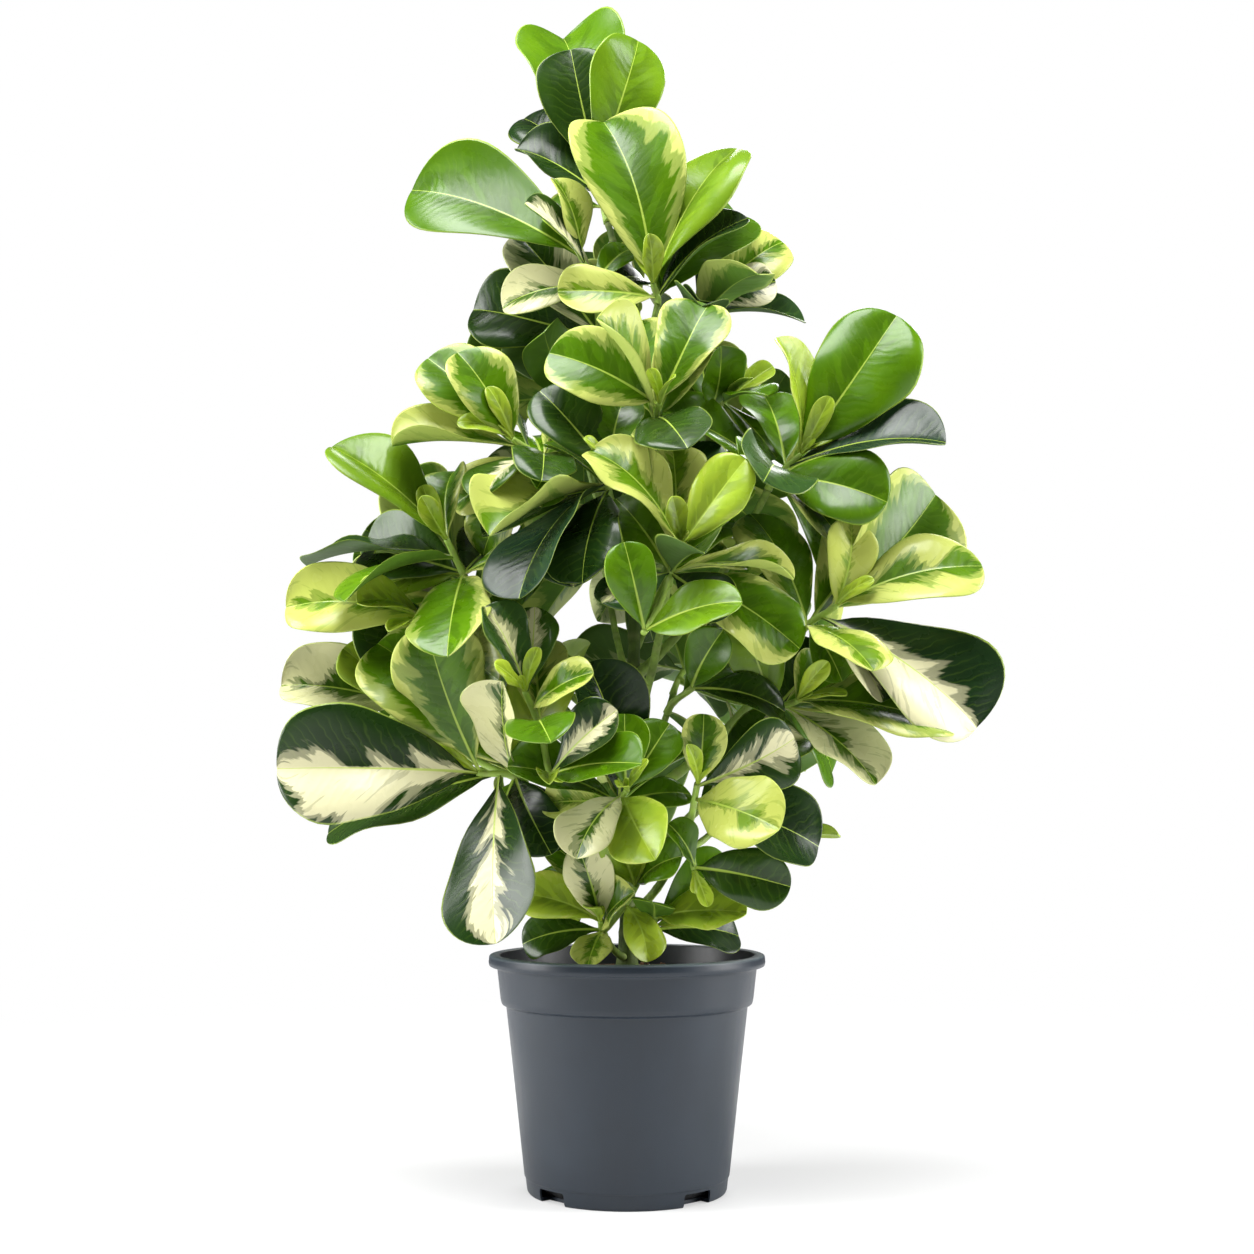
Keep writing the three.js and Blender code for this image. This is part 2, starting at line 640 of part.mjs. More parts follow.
// Twigs of a mass: the main one goes on from the bough's tip, and the others leave it
function mainTwig(bough, tip) {
  const start = bough.curve.getTangent(1);
  const foot = bough.curve.getPoint(1).addScaledVector(start, GAP);
  const span = tip.distanceTo(foot);
  const leaving = foot.clone().addScaledVector(start, TWIG_START_PULL * span);
  const points = [foot, leaving, tip.clone().lerp(foot, TWIG_END_PULL), tip];
  return limb(points, taper(bough.radius(1), TWIG_TIP_RADIUS), TWIG_SIDES, TWIG_STEPS);
}

function sideTwig(main, share, tip) {
  const foot = main.curve.getPoint(Math.max(share, SIDE_TWIG_SHARE));
  const points = saggingPoints(foot, tip, BRANCH_SAG);
  return limb(points, taper(BRANCH_RADIUS, TWIG_TIP_RADIUS), TWIG_SIDES, TWIG_STEPS);
}

function insideCrown(skin) {
  return skin.points.every((point) => Math.hypot(point.x, point.y) <= between(CROWN_REACH, point.z));
}

function isClear(leaf, shoot, keepsToCrown) {
  const { full, outer } = leafSkins(leaf, CLEARANCE);
  if (!clearOfPot(outer)) return false;
  if (keepsToCrown && !insideCrown(outer)) return false;
  return !obstacles.some((other) => (other.group === shoot.number || other.group === shoot.mass
    ? touches(outer, other.outer)
    : touches(full, other.full)));
}

// A leaf that would touch another is turned a little further at each try, and left out after the last
function tryLeaf(shoot, order, chord, size, roll, node, keepsToCrown) {
  const share = Math.max(LOWEST_ROOT, 1 - INTERNODE * (node + FIRST_NODE) / shoot.length);
  const root = shoot.twig.curve.getPoint(share);
  const draw = drawsFor(shoot.number, order);
  for (let attempt = 0; attempt < TRIES; attempt += 1) {
    const swing = SWING_STEP * attempt;
    const moved = chord.clone().addScaledVector(shoot.sideways, draw(-swing, swing));
    moved.addScaledVector(shoot.crossways, draw(-swing, swing)).normalize();
    const tilt = roll + draw(-TILT_STEP, TILT_STEP) * attempt;
    const leaf = makeLeaf(root, moved, shoot.light, size * (1 - SHRINK_STEP * attempt), tilt, draw);
    if (isClear(leaf, shoot, keepsToCrown)) {
      obstacles.push({ group: shoot.number, ...leafSkins(leaf, 0) });
      shoot.leaves.push(leaf);
      return;
    }
  }
}

function growLeading(shoot) {
  shoot.leading.forEach(([azimuth, rise, size, roll], order) => {
    tryLeaf(shoot, order, direction(azimuth, rise), size, roll, Math.floor(order / 2), false);
  });
}

// Pairs below the leading leaves: each pair stands across the one above it and leans out further
function growPairs(shoot) {
  const draw = drawsFor(shoot.number, PAIR_DRAWS);
  const firstTurn = draw(0, 360);
  const firstNode = Math.ceil(shoot.leading.length / 2);
  for (let node = 0; node < shoot.pairs; node += 1) {
    const steepest = Math.min(PAIR_LEAN_MOST, PAIR_LEAN + PAIR_LEAN_STEP * (node + firstNode));
    for (let half = 0; half < 2; half += 1) {
      const turn = radians(firstTurn + PAIR_TURN * node + 180 * half);
      const lean = radians(steepest + draw(-PAIR_LEAN_SPREAD, PAIR_LEAN_SPREAD));
      const radial = shoot.sideways.clone().applyAxisAngle(shoot.axis, turn);
      const chord = leaned(shoot.axis, radial, lean);
      const size = draw(...PAIR_SIZE);
      const order = shoot.leading.length + 2 * node + half;
      tryLeaf(shoot, order, chord, size, draw(-PAIR_ROLL, PAIR_ROLL), node + firstNode, true);
    }
  }
}

const shoots = [];

function buildShoots([mass, boughName, rows]) {
  const bough = limbs.get(boughName);
  let main = null;
  rows.forEach(([share, azimuth, reachOut, height, facing, pairs, leading]) => {
    const tip = place(azimuth, reachOut, height);
    const twig = main ? sideTwig(main, share, tip) : mainTwig(bough, tip);
    main = main || twig;
    const axis = twig.curve.getTangent(1);
    const sideways = axis.clone().cross(crossReference(axis)).normalize();
    const crossways = sideways.clone().cross(axis);
    const length = twig.curve.getPoint(1).distanceTo(twig.curve.getPoint(0));
    const light = direction(facing, LIGHT_RISE);
    const number = shoots.length;
    addLimbObstacle(twig, mass);
    const leaves = [];
    shoots.push({ mass, number, twig, axis, sideways, crossways, length, light, pairs, leading, leaves });
  });
}

function buildMass([mass]) {
  const own = shoots.filter((shoot) => shoot.mass === mass);
  const pieces = own.flatMap((shoot) => [limbGeometry(shoot.twig), ...shoot.leaves.map(leafGeometry)]);
  const solid = pieces.map(toSolid).reduce((joined, piece) => joined.add(piece));
  addPiece(`mass_${mass}`, toGeometry(solid), foliage);
}

allMasses.forEach(buildShoots);
shoots.forEach(growLeading);
shoots.forEach(growPairs);
allMasses.forEach(buildMass);

export default plant;
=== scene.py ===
"""Potted variegated clusia: its leaves, stems, soil and pot as detailed surfaces around the packed model.

The growth rule works in millimetres, +Z up, from the middle of the pot's underside, and meshes are in
metres. An azimuth is in degrees seen from above: 0 is the front (-Y), 90 the right (+X). A reach is a
distance from the pot's axis, and a height is counted from the ground.
"""
from functools import lru_cache
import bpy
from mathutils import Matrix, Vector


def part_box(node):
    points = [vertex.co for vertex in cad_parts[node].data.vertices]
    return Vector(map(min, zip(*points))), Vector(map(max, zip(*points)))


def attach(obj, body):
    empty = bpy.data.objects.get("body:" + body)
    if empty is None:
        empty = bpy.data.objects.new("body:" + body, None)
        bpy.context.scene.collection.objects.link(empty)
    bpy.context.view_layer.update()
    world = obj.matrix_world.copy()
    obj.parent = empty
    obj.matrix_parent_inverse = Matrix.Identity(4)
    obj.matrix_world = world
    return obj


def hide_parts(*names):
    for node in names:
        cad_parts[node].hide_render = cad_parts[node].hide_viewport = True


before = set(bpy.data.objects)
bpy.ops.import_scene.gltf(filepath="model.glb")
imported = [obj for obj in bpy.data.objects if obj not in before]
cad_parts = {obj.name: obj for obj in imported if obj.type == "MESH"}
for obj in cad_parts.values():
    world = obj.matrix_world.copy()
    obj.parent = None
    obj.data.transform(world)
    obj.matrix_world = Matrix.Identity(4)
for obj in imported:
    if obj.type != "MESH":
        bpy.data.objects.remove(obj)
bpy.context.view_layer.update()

from types import SimpleNamespace

import bpy
import numpy as np

bl_info = {
    "name": "Potted Variegated Clusia",
    "version": (1, 0, 0),
    "blender": (4, 5, 0),
    "location": "3D View > Sidebar > Plant",
    "description": "Leaves, stems, soil and pot of a potted plant with two-coloured leaves",
    "category": "Add Mesh",
}

MM = 0.001

# Pot and soil, as in the solids
POT_HEIGHT = 200
POT_BASE_RADIUS = 86.5
POT_WALL = 2.6
FLOOR_THICKNESS = 3
BAND_BOTTOM = 158
BAND_STEP = 4.5
BAND_RADIUS = 109
NECK_RADIUS = 112.5
RIM_RADIUS = 120
RIM_DEPTH = 10
NOTCH_COUNT = 4
NOTCH_FIRST = 43
NOTCH_SPACING = 90
NOTCH_WIDTH = 30
NOTCH_HEIGHT = 11
NOTCH_INNER_REACH = 74
SOIL_TOP = 182
SOIL_FOOT_CHAMFER = 16
GAP = 0.3

# Trunk, from its flat cut at the soil to the foot of the top mass
TRUNK_POINTS = [[0, 0, SOIL_TOP + GAP], [0, 0, 400], [26, -4, 720], [-18, 34, 866]]
TRUNK_FOOT_RADIUS = 7
TRUNK_TIP_RADIUS = 3
FLARE_RADIUS = 4
FLARE_HEIGHT = 12

# Boughs: name, height on the trunk, azimuth, reach and height of the tip, radius at foot and tip
BOUGHS = [
    ("leader_front", 700, 65, 30, 775, 3.2, 2.8),
    ("leader_left", 690, -60, 30, 780, 3.2, 2.8),
    ("crown_right", 655, 110, 60, 750, 3.4, 2.8),
    ("crown_front", 590, 25, 55, 650, 3.6, 2.8),
    ("shoulder_left", 516, -65, 75, 620, 4.2, 3),
    ("shoulder_front", 538, -15, 55, 590, 3.6, 2.8),
    ("shoulder_right", 440, 70, 130, 600, 4.6, 3),
    ("waist_front", 386, 20, 100, 510, 4.2, 3),
    ("waist_right", 330, 65, 160, 470, 5, 3.2),
    ("waist_left", 366, -75, 140, 515, 4.8, 3),
    ("skirt_left", 264, -55, 105, 345, 4.8, 3.2),
    ("skirt_front_left", 300, -35, 115, 380, 4.2, 3),
    ("skirt_right", 278, 65, 130, 400, 4.6, 3),
    ("skirt_front_right", 232, 30, 95, 300, 4.2, 3),
    ("skirt_front", 249, -5, 85, 320, 3.6, 2.8),
    ("waist_centre", 350, 25, 80, 405, 3.6, 2.8),
    ("upper_right", 600, 80, 60, 660, 3.6, 2.8),
    ("foot_left", 196, -25, 45, 218, 3.2, 2.6),
    ("foot_right", 210, 25, 45, 218, 3.2, 2.6),
]

# Masses: name, bough, and the shoots. A shoot has the share of the main twig where it leaves, the
# azimuth, reach and height of its tip, the azimuth that its leaves turn to, its count of leaf pairs,
# and its leading leaves, each with the azimuth, rise, length and roll of its blade and its colouring.
MASSES = [
    ("top_front", "leader_front", [
        (0, 50, 30, 792, 0, 1, [(-110, 74, 176, 0, "edged"), (100, 62, 158, -35, "fresh"),
                                (125, 47, 135, 0, "fresh")]),
    ]),
    ("top_back", "trunk", [
        (0, -145, 45, 925, 0, 2, [(-145, 68, 174, 0, "fresh"), (66, 70, 124, 30, "fresh"),
                                  (-60, 75, 126, 0, "dark"), (-115, 45, 118, 0, "dark"),
                                  (-85, 30, 95, 0, "dark")]),
    ]),
    ("top_left", "leader_left", [
        (0, -70, 45, 820, 0, 2, [(-55, 70, 75, 30, "cream_edged"), (-95, 25, 174, 0, "green"),
                                 (-50, 35, 85, 25, "cream_hearted")]),
        (0.2, -130, 30, 750, 0, 1, [(-92, 16, 126, -25, "dark"), (-66, 56, 140, 20, "white_edged")]),
    ]),
    ("crown_right", "crown_right", [
        (0, 110, 75, 790, 30, 2, [(100, 45, 106, 0, "cream_edged"), (80, 15, 70, 30, "white_edged"),
                                  (84, 14, 124, -40, "blue"), (150, 45, 110, 0, "dark")]),
    ]),
    ("crown_front", "crown_front", [
        (0, 20, 80, 670, 0, 2, [(94, 66, 104, 0, "edged"), (-80, 25, 105, -20, "edged"),
                                (15, -25, 100, 0, "dark")]),
    ]),
    ("shoulder_front", "shoulder_front", [
        (0, -10, 85, 610, 0, 2, [(-100, 50, 95, 0, "dark"), (-170, 80, 75, 0, "green"),
                                 (-45, -45, 150, 50, "blue"), (-55, -25, 130, 25, "cream_edged"),
                                 (-25, -50, 115, 20, "striped")]),
    ]),
    ("shoulder_left", "shoulder_left", [
        (0, -65, 110, 645, 0, 2, [(-95, 44, 108, 0, "edged"), (-72, 57, 92, 0, "edged"),
                                  (-120, 56, 138, 45, "striped"), (-78, 0, 120, 25, "cream_edged"),
                                  (-35, -25, 100, 30, "cream_hearted"), (-100, -25, 90, 0, "cream_edged")]),
    ]),
    ("waist_front", "waist_front", [
        (0, 20, 130, 540, 0, 2, [(65, 50, 90, 0, "lime"), (-95, 50, 115, 25, "cream_edged"),
                                 (-175, 80, 105, 0, "cream_edged"), (-140, 75, 135, 30, "striped"),
                                 (130, 60, 140, 0, "green"), (72, -3, 106, -25, "cream_edged")]),
        (0.1, 5, 150, 465, 0, 0, [(-40, 70, 74, 0, "fresh"), (60, 15, 88, 0, "fresh")]),
    ]),
    ("shoulder_right", "shoulder_right", [
        (0, 70, 160, 630, 20, 2, [(85, 55, 150, 0, "green"), (-25, 70, 105, 35, "lime"),
                                  (74, 8, 140, -20, "blue"), (-165, 55, 95, 0, "green"),
                                  (50, -15, 115, 40, "green"), (125, 20, 105, 0, "cream_edged")]),
    ]),
    ("waist_right", "waist_right", [
        (0, 65, 195, 495, 20, 2, [(80, 15, 127, 0, "cream_edged"), (50, 75, 75, 0, "yellow"),
                                  (80, -35, 162, 0, "half_cream"), (100, 45, 160, 30, "edged"),
                                  (25, -20, 110, 0, "cream_edged"), (125, 48, 150, 0, "edged")]),
    ]),
    ("skirt_right", "skirt_right", [
        (0, 60, 165, 415, 20, 2, [(70, -13, 145, 0, "edged"), (115, 60, 50, 0, "edged"),
                                  (58, -36, 108, 0, "white"), (140, -35, 95, 0, "green")]),
    ]),
    ("skirt_front_right", "skirt_front_right", [
        (0, 25, 135, 345, 0, 2, [(20, 75, 60, 0, "edged"), (85, 25, 90, 35, "cream_hearted"),
                                 (40, -12, 98, 15, "yellow"), (95, -20, 110, 0, "dark")]),
        (0, 30, 110, 275, 0, 2, [(65, -10, 85, 25, "dark"), (-50, 55, 45, 30, "green")]),
    ]),
    ("waist_left", "waist_left", [
        (0, -70, 165, 555, -20, 2, [(-85, 40, 130, 35, "fresh"), (-145, 80, 85, 0, "edged"),
                                    (-50, -20, 120, 30, "fresh"), (-100, 0, 135, 40, "dark"),
                                    (-120, 15, 110, 0, "dark")]),
        (0, -70, 185, 485, -20, 2, [(-90, 5, 120, 0, "yellow"), (-45, 10, 70, 0, "lime")]),
    ]),
    ("skirt_left", "skirt_left", [
        (0, -60, 145, 355, -20, 2, [(-72, 1, 170, -25, "cream_below"), (-50, 65, 135, 0, "edged"),
                                    (-95, -16, 158, 10, "dark"), (0, -60, 155, 22, "cream_flamed"),
                                    (-5, 45, 105, 0, "white"), (-85, 45, 165, 0, "edged"),
                                    (35, -48, 85, 0, "dark"), (72, -50, 75, 0, "dark")]),
        (0.2, -80, 195, 415, -20, 2, [(-85, 10, 110, 0, "white"), (-65, 40, 75, 0, "lime")]),
    ]),
    ("skirt_front_left", "skirt_front_left", [
        (0, -35, 145, 420, 0, 1, [(-75, 65, 80, 30, "striped"), (180, 80, 80, 0, "striped"),
                                  (50, 25, 70, 0, "cream_edged")]),
        (0.1, -25, 145, 350, 0, 2, [(60, 40, 80, 0, "cream_hearted"), (50, 5, 95, 0, "green")]),
    ]),
    ("skirt_front", "skirt_front", [
        (0, 0, 130, 340, 0, 2, [(-45, 60, 75, 0, "green"), (70, 65, 70, 25, "green"),
                                (-35, -35, 80, 20, "white"), (20, -35, 85, 20, "lime")]),
    ]),
    ("waist_centre", "waist_centre", [
        (0, 30, 110, 425, 0, 0, [(95, -12, 82, 0, "dark"), (40, 50, 60, 20, "green"),
                                 (120, 40, 85, 0, "green")]),
    ]),
    ("upper_right", "upper_right", [
        (0, 75, 90, 685, 15, 2, [(30, -5, 70, 0, "green"), (65, -50, 80, 20, "green"),
                                 (-155, 70, 75, 0, "green"), (10, 40, 70, 0, "green")]),
    ]),
    ("foot_left", "foot_left", [
        (0, -20, 65, 232, -10, 1, [(-75, 20, 74, 0, "lime"), (-30, 60, 74, 0, "white"),
                                   (-85, -8, 70, 0, "dark"), (5, 25, 75, 25, "cream_edged"),
                                   (-10, -25, 60, 0, "cream_edged")]),
        (0.1, 8, 62, 262, 0, 1, [(-30, 55, 72, 0, "fresh"), (55, 20, 74, 0, "green"),
                                 (8, -40, 66, 0, "lime")]),
    ]),
    ("foot_right", "foot_right", [
        (0, 20, 70, 236, 10, 1, [(150, 75, 95, 0, "green"), (60, 5, 85, 0, "lime"), (25, -12, 75, 0, "green"),
                                 (70, 40, 80, 0, "lime"), (105, -4, 78, 0, "dark")]),
    ]),
]

# Back of the crown: masses spaced round it by the golden share, bottom to top
BACK_COUNT = 9
BACK_FIRST_HEIGHT = 290
BACK_LAST_HEIGHT = 790
BACK_FIRST_AZIMUTH = 105
BACK_SPREAD = 150
GOLDEN_SHARE = 0.618
BACK_REACH = [(280, 115), (400, 190), (520, 195), (640, 140), (800, 65)]
BACK_PAIRS = (4, 4)
BACK_SIDE_SHARE = 0.1
BACK_SIDE_TURN = 32
BACK_SIDE_REACH = 0.9
BACK_SIDE_DROP = 55
BACK_FOOT_RISE = 0.6
BACK_FOOT_DROP = 10
BACK_TIP_REACH = 0.6
BACK_TIP_DROP = 45
BACK_FOOT_RADIUS = 3.8
BACK_FOOT_TAPER = 0.1
BACK_TIP_RADIUS = 2.8

# How far from the axis the leaves that fill the crown may reach, at rising heights
CROWN_REACH = [(180, 80), (250, 105), (300, 130), (340, 170), (390, 245), (530, 275), (600, 250), (650, 210),
               (770, 150), (850, 120), (950, 90), (1060, 45), (1200, 45)]

# Leaf blades
LEAF_STATIONS = (0, 0.2, 0.52, 0.84, 1)
BLADE_START = 0.08
LEAF_THICKNESS = 2.4
PETIOLE_HALF_WIDTH = 2.2
ROOT_HALF_WIDTH = 1
OUTLINE_FALL = 2.2
OUTLINE_ROUND = 0.55
OUTLINE_PEAK = 0.5
WIDTH_SHARE = (0.58, 0.7)
BEND = (0.35, 0.8)
FOLD = (9, 20)

# How leaves stand on a shoot: in pairs, each pair across the last, upper side to the light
LIGHT_RISE = 22
LIGHT_LIFT = 0.2
INTERNODE = 16
FIRST_NODE = 0.2
LOWEST_ROOT = 0.25
PAIR_SIZE = (100, 150)
PAIR_LEAN = 40
PAIR_LEAN_STEP = 14
PAIR_LEAN_MOST = 95
PAIR_LEAN_SPREAD = 8
PAIR_TURN = 90
PAIR_ROLL = 25
PAIR_DRAWS = 99

# How far a leaf keeps clear of others, and how it moves when it does not
SIBLING_START = 0.36
CLEARANCE = 1
SOIL_CLEARANCE = 5
RIM_MARGIN = 6
TRIES = 16
SWING_STEP = 0.06
TILT_STEP = 4
SHRINK_STEP = 0.015

# Limbs and twigs
TRUNK_SIDES = 9
TRUNK_STEPS = 12
BOUGH_SIDES = 5
BOUGH_STEPS = 4
TWIG_SIDES = 3
TWIG_STEPS = 3
TWIG_TIP_RADIUS = 2.6
BRANCH_RADIUS = 2.8
SIDE_TWIG_SHARE = 0.22
BOUGH_SAG = 0.12
BRANCH_SAG = 0.1
SAG_START = 0.35
SAG_END = 0.72
TWIG_START_PULL = 0.4
TWIG_END_PULL = 0.3
STEEP = 0.9
HALVINGS = 30

# Finer growth than the solids hold: small young leaves at each tip, and smaller leaves between
TIP_PAIRS = ((34, 56, 20), (16, 24, 7))
TIP_FIRST_ORDER = 60
FILL_NODES = 4
FILL_SIZE = (62, 100)
FILL_TRIES = 8
FILL_FIRST_ORDER = 70
FILL_DRAWS = 98

UP = np.array((0.0, 0.0, 1.0))
BACKWARD = np.array((0.0, 1.0, 0.0))


class Draws:
    """Repeatable draws: a whole number stepped by a fixed rule, started from the shoot and the leaf."""

    START = (7919, 104729, 12345)
    STEP = (1664525, 1013904223)
    RANGE = 2 ** 32

    def __init__(self, shoot, leaf):
        self.state = (shoot * self.START[0] + leaf * self.START[1] + self.START[2]) % self.RANGE
        self.advance()
        self.advance()

    def advance(self):
        self.state = (self.state * self.STEP[0] + self.STEP[1]) % self.RANGE
        return self.state / self.RANGE

    def __call__(self, low, high):
        return low + (high - low) * self.advance()


def direction(azimuth, rise):
    """A unit vector from its azimuth and its rise over the level, both in degrees."""
    turn, lift = np.radians(azimuth), np.radians(rise)
    return np.array((np.cos(lift) * np.sin(turn), -np.cos(lift) * np.cos(turn), np.sin(lift)))


def place(azimuth, reach, height):
    """The point at a reach from the axis along an azimuth, and at a height."""
    point = direction(azimuth, 0) * reach
    point[2] = height
    return point


def unit(vector):
    return vector / np.linalg.norm(vector, axis=-1, keepdims=True)


def between(rows, key):
    """A value between the rows of a table of pairs."""
    return np.interp(key, *zip(*rows))


def cross_reference(axis):
    """A direction that is well across the given one."""
    return BACKWARD if abs(axis[2]) > STEEP else UP


def turned(vector, axis, angle):
    """The vector turned about a unit axis by an angle in radians."""
    cos, sin = np.cos(angle), np.sin(angle)
    return vector * cos + np.cross(axis, vector) * sin + axis * np.dot(axis, vector) * (1 - cos)


class Limb:
    """A stem along a cubic curve; its radius is a function of the share of the curve."""

    DELTA = 0.0001
    LENGTH_POINTS = 60

    def __init__(self, points, radius, sides, steps):
        self.points = np.array(points, float)
        self.reference = cross_reference(unit(self.points[3] - self.points[0]))
        self.radius, self.sides, self.steps = radius, sides, steps

    def at(self, share):
        t = np.asarray(share, float)[..., None]
        a, b, c, d = self.points
        return (1 - t) ** 3 * a + 3 * (1 - t) ** 2 * t * b + 3 * (1 - t) * t ** 2 * c + t ** 3 * d

    def heading(self, share):
        share = np.asarray(share, float)
        return unit(self.at(np.minimum(share + self.DELTA, 1)) - self.at(np.maximum(share - self.DELTA, 0)))

    def length(self):
        return np.linalg.norm(np.diff(self.at(np.linspace(0, 1, self.LENGTH_POINTS)), axis=0), axis=1).sum()

    def surface(self, share, across, up, extra):
        """The middle line, plus the radius times two unit vectors square to it."""
        heading = self.heading(share)
        side = unit(np.cross(heading, self.reference))
        normal = np.cross(side, heading)
        radius = (self.radius(np.asarray(share, float)) + extra)[..., None]
        return self.at(share) + radius * (across[..., None] * side + up[..., None] * normal)


def taper(foot_radius, tip_radius):
    """A radius that goes evenly from foot to tip."""
    return lambda share: foot_radius + (tip_radius - foot_radius) * share


def sagging_points(foot, tip, sag_share):
    """The four points of a curve that hangs a little below the straight line from foot to tip."""
    span = tip - foot
    sag = UP * sag_share * np.linalg.norm(span)
    return [foot, foot + SAG_START * span - sag, foot + SAG_END * span - sag, tip]


def half_width(leaf, share):
    """Half the width of a blade: straight from its foot, widest past the middle, round at its tip."""
    blade = np.clip((share - BLADE_START) / (1 - BLADE_START), 0, 1)
    outline = blade * (1 - blade ** OUTLINE_FALL) ** OUTLINE_ROUND / OUTLINE_PEAK
    stalk = np.where(share == 0, ROOT_HALF_WIDTH, PETIOLE_HALF_WIDTH * np.sign(1 - share))
    return np.maximum(stalk, leaf.width / 2 * outline)


def leaf_frame(leaf, share):
    """The midrib's point and upward direction: an arc that bends away from the upper side."""
    angle = (leaf.bend * share)[..., None]
    arc = leaf.length * (leaf.bend / 2) / np.sin(leaf.bend / 2) / leaf.bend
    point = leaf.root + leaf.along * arc * np.sin(angle) - leaf.normal * arc * (1 - np.cos(angle))
    return point, leaf.normal * np.cos(angle) + leaf.along * np.sin(angle)


def leaf_point(leaf, share, across, up, extra):
    """The leaf's coarse form: the arc, folded up along its midrib, with an even thickness."""
    point, normal = leaf_frame(leaf, share)
    width = half_width(leaf, share) + extra
    thickness = np.where(share == 0, ROOT_HALF_WIDTH, LEAF_THICKNESS / 2 + extra)
    lift = np.abs(across) * width * np.sin(leaf.fold) + up * thickness
    return point + leaf.side * (across * width * np.cos(leaf.fold))[..., None] + normal * lift[..., None]


def make_leaf(root, chord, light, length, roll, draw):
    """The blade's frame: its chord runs from root to tip, and its upper side turns to the light and rolls."""
    width = length * draw(*WIDTH_SHARE)
    bend = draw(*BEND)
    fold = np.radians(draw(*FOLD))
    facing = light + LIGHT_LIFT * UP
    facing = turned(unit(facing - chord * np.dot(facing, chord)), chord, np.radians(roll))
    along = chord * np.cos(bend / 2) + facing * np.sin(bend / 2)
    normal = facing * np.cos(bend / 2) - chord * np.sin(bend / 2)
    return SimpleNamespace(root=root, along=along, normal=normal, side=np.cross(along, normal),
                           length=length, width=width, bend=bend, fold=fold)


@lru_cache(maxsize=None)
def skin_layout(rows, corners, closed):
    """Which corner points each edge and triangle of a skin joins."""
    here = np.arange(rows * corners).reshape(rows, corners)
    beside = np.roll(here, -1, axis=1)
    edges = [np.stack([here, beside], -1).reshape(-1, 2), np.stack([here[:-1], here[1:]], -1).reshape(-1, 2)]
    low, low_beside, high, high_beside = here[:-1], beside[:-1], here[1:], beside[1:]
    faces = [np.stack([low, low_beside, high_beside], -1).reshape(-1, 3),
             np.stack([low, high_beside, high], -1).reshape(-1, 3)]
    if closed:
        tip = np.full(corners, rows * corners)
        edges.append(np.stack([here[-1], tip], -1))
        faces.append(np.stack([here[-1], beside[-1], tip], -1))
    return np.concatenate(edges), np.concatenate(faces)


def make_skin(rings, tip=None):
    """A coarse set of edges and triangles that stands for a piece when leaves are placed."""
    rows, corners = rings.shape[:2]
    points = rings.reshape(-1, 3)
    if tip is not None:
        points = np.concatenate([points, tip[None]])
    edges, faces = skin_layout(rows, corners, tip is not None)
    return SimpleNamespace(points=points, edges=points[edges], faces=points[faces],
                           low=points.min(0), high=points.max(0))


def leaf_skins(leaf, extra):
    """Two skins of a leaf: the whole of it, and the outer part that its near neighbours keep clear of."""
    share = np.repeat(np.array(LEAF_STATIONS[:-1], float)[:, None], 4, axis=1)
    across = np.broadcast_to(np.array((0.0, 1.0, 0.0, -1.0)), share.shape)
    up = np.broadcast_to(np.array((1.0, 0.0, -1.0, 0.0)), share.shape)
    rings = leaf_point(leaf, share, across, up, extra)
    tip = leaf_point(leaf, np.array(1.0), np.array(0.0), np.array(0.0), 0)
    start = (SIBLING_START - LEAF_STATIONS[1]) / (LEAF_STATIONS[2] - LEAF_STATIONS[1])
    first = rings[1] + (rings[2] - rings[1]) * start
    return make_skin(rings, tip), make_skin(np.concatenate([first[None], rings[2:]]), tip)


def limb_skin(part, extra):
    """The skin of a limb: rings of corners at even shares of its curve."""
    turn = np.arange(part.sides) * 2 * np.pi / part.sides
    share = np.repeat((np.arange(part.steps + 1) / part.steps)[:, None], part.sides, axis=1)
    across = np.broadcast_to(np.sin(turn), share.shape)
    up = np.broadcast_to(np.cos(turn), share.shape)
    return make_skin(part.surface(share, across, up, extra))


def pierced(edges, faces):
    """Whether any edge passes through any triangle, solved for every pair at once."""
    if not len(edges) or not len(faces):
        return False
    start = edges[:, None, 0]
    stretch = edges[:, None, 1] - start
    corner = faces[None, :, 0]
    one = faces[None, :, 1] - corner
    two = faces[None, :, 2] - corner
    turn = np.cross(stretch, two)
    scale = (one * turn).sum(-1)
    offset = start - corner
    back = np.cross(offset, one)
    with np.errstate(divide="ignore", invalid="ignore"):
        first = (offset * turn).sum(-1) / scale
        second = (stretch * back).sum(-1) / scale
        share = (two * back).sum(-1) / scale
        inside = (first >= 0) & (first <= 1) & (second >= 0) & (first + second <= 1)
        return bool(np.any((scale != 0) & inside & (share >= 0) & (share <= 1)))


class Skins:
    """What is already there: each piece's skin with its group, lowest point and highest point."""

    def __init__(self):
        self.pieces = []
        self.groups, self.lows, self.highs = np.zeros(0, int), np.zeros((0, 3)), np.zeros((0, 3))

    def add(self, group, skin):
        self.pieces.append(skin)
        self.groups = np.append(self.groups, group)
        self.lows = np.concatenate([self.lows, skin.low[None]])
        self.highs = np.concatenate([self.highs, skin.high[None]])

    def touched_by(self, skin, groups, among):
        """Whether the skin touches any piece among the groups, or any piece outside them."""
        near = (self.lows <= skin.high).all(1) & (self.highs >= skin.low).all(1)
        near &= np.isin(self.groups, groups) == among
        others = [self.pieces[index] for index in np.flatnonzero(near)]
        if not others:
            return False
        edges = within(np.concatenate([other.edges for other in others]), skin)
        faces = within(np.concatenate([other.faces for other in others]), skin)
        return pierced(skin.edges, faces) or pierced(edges, skin.faces)


def within(shapes, skin):
    """The edges or triangles whose boxes meet the skin's box."""
    return shapes[(shapes.min(1) <= skin.high).all(1) & (shapes.max(1) >= skin.low).all(1)]


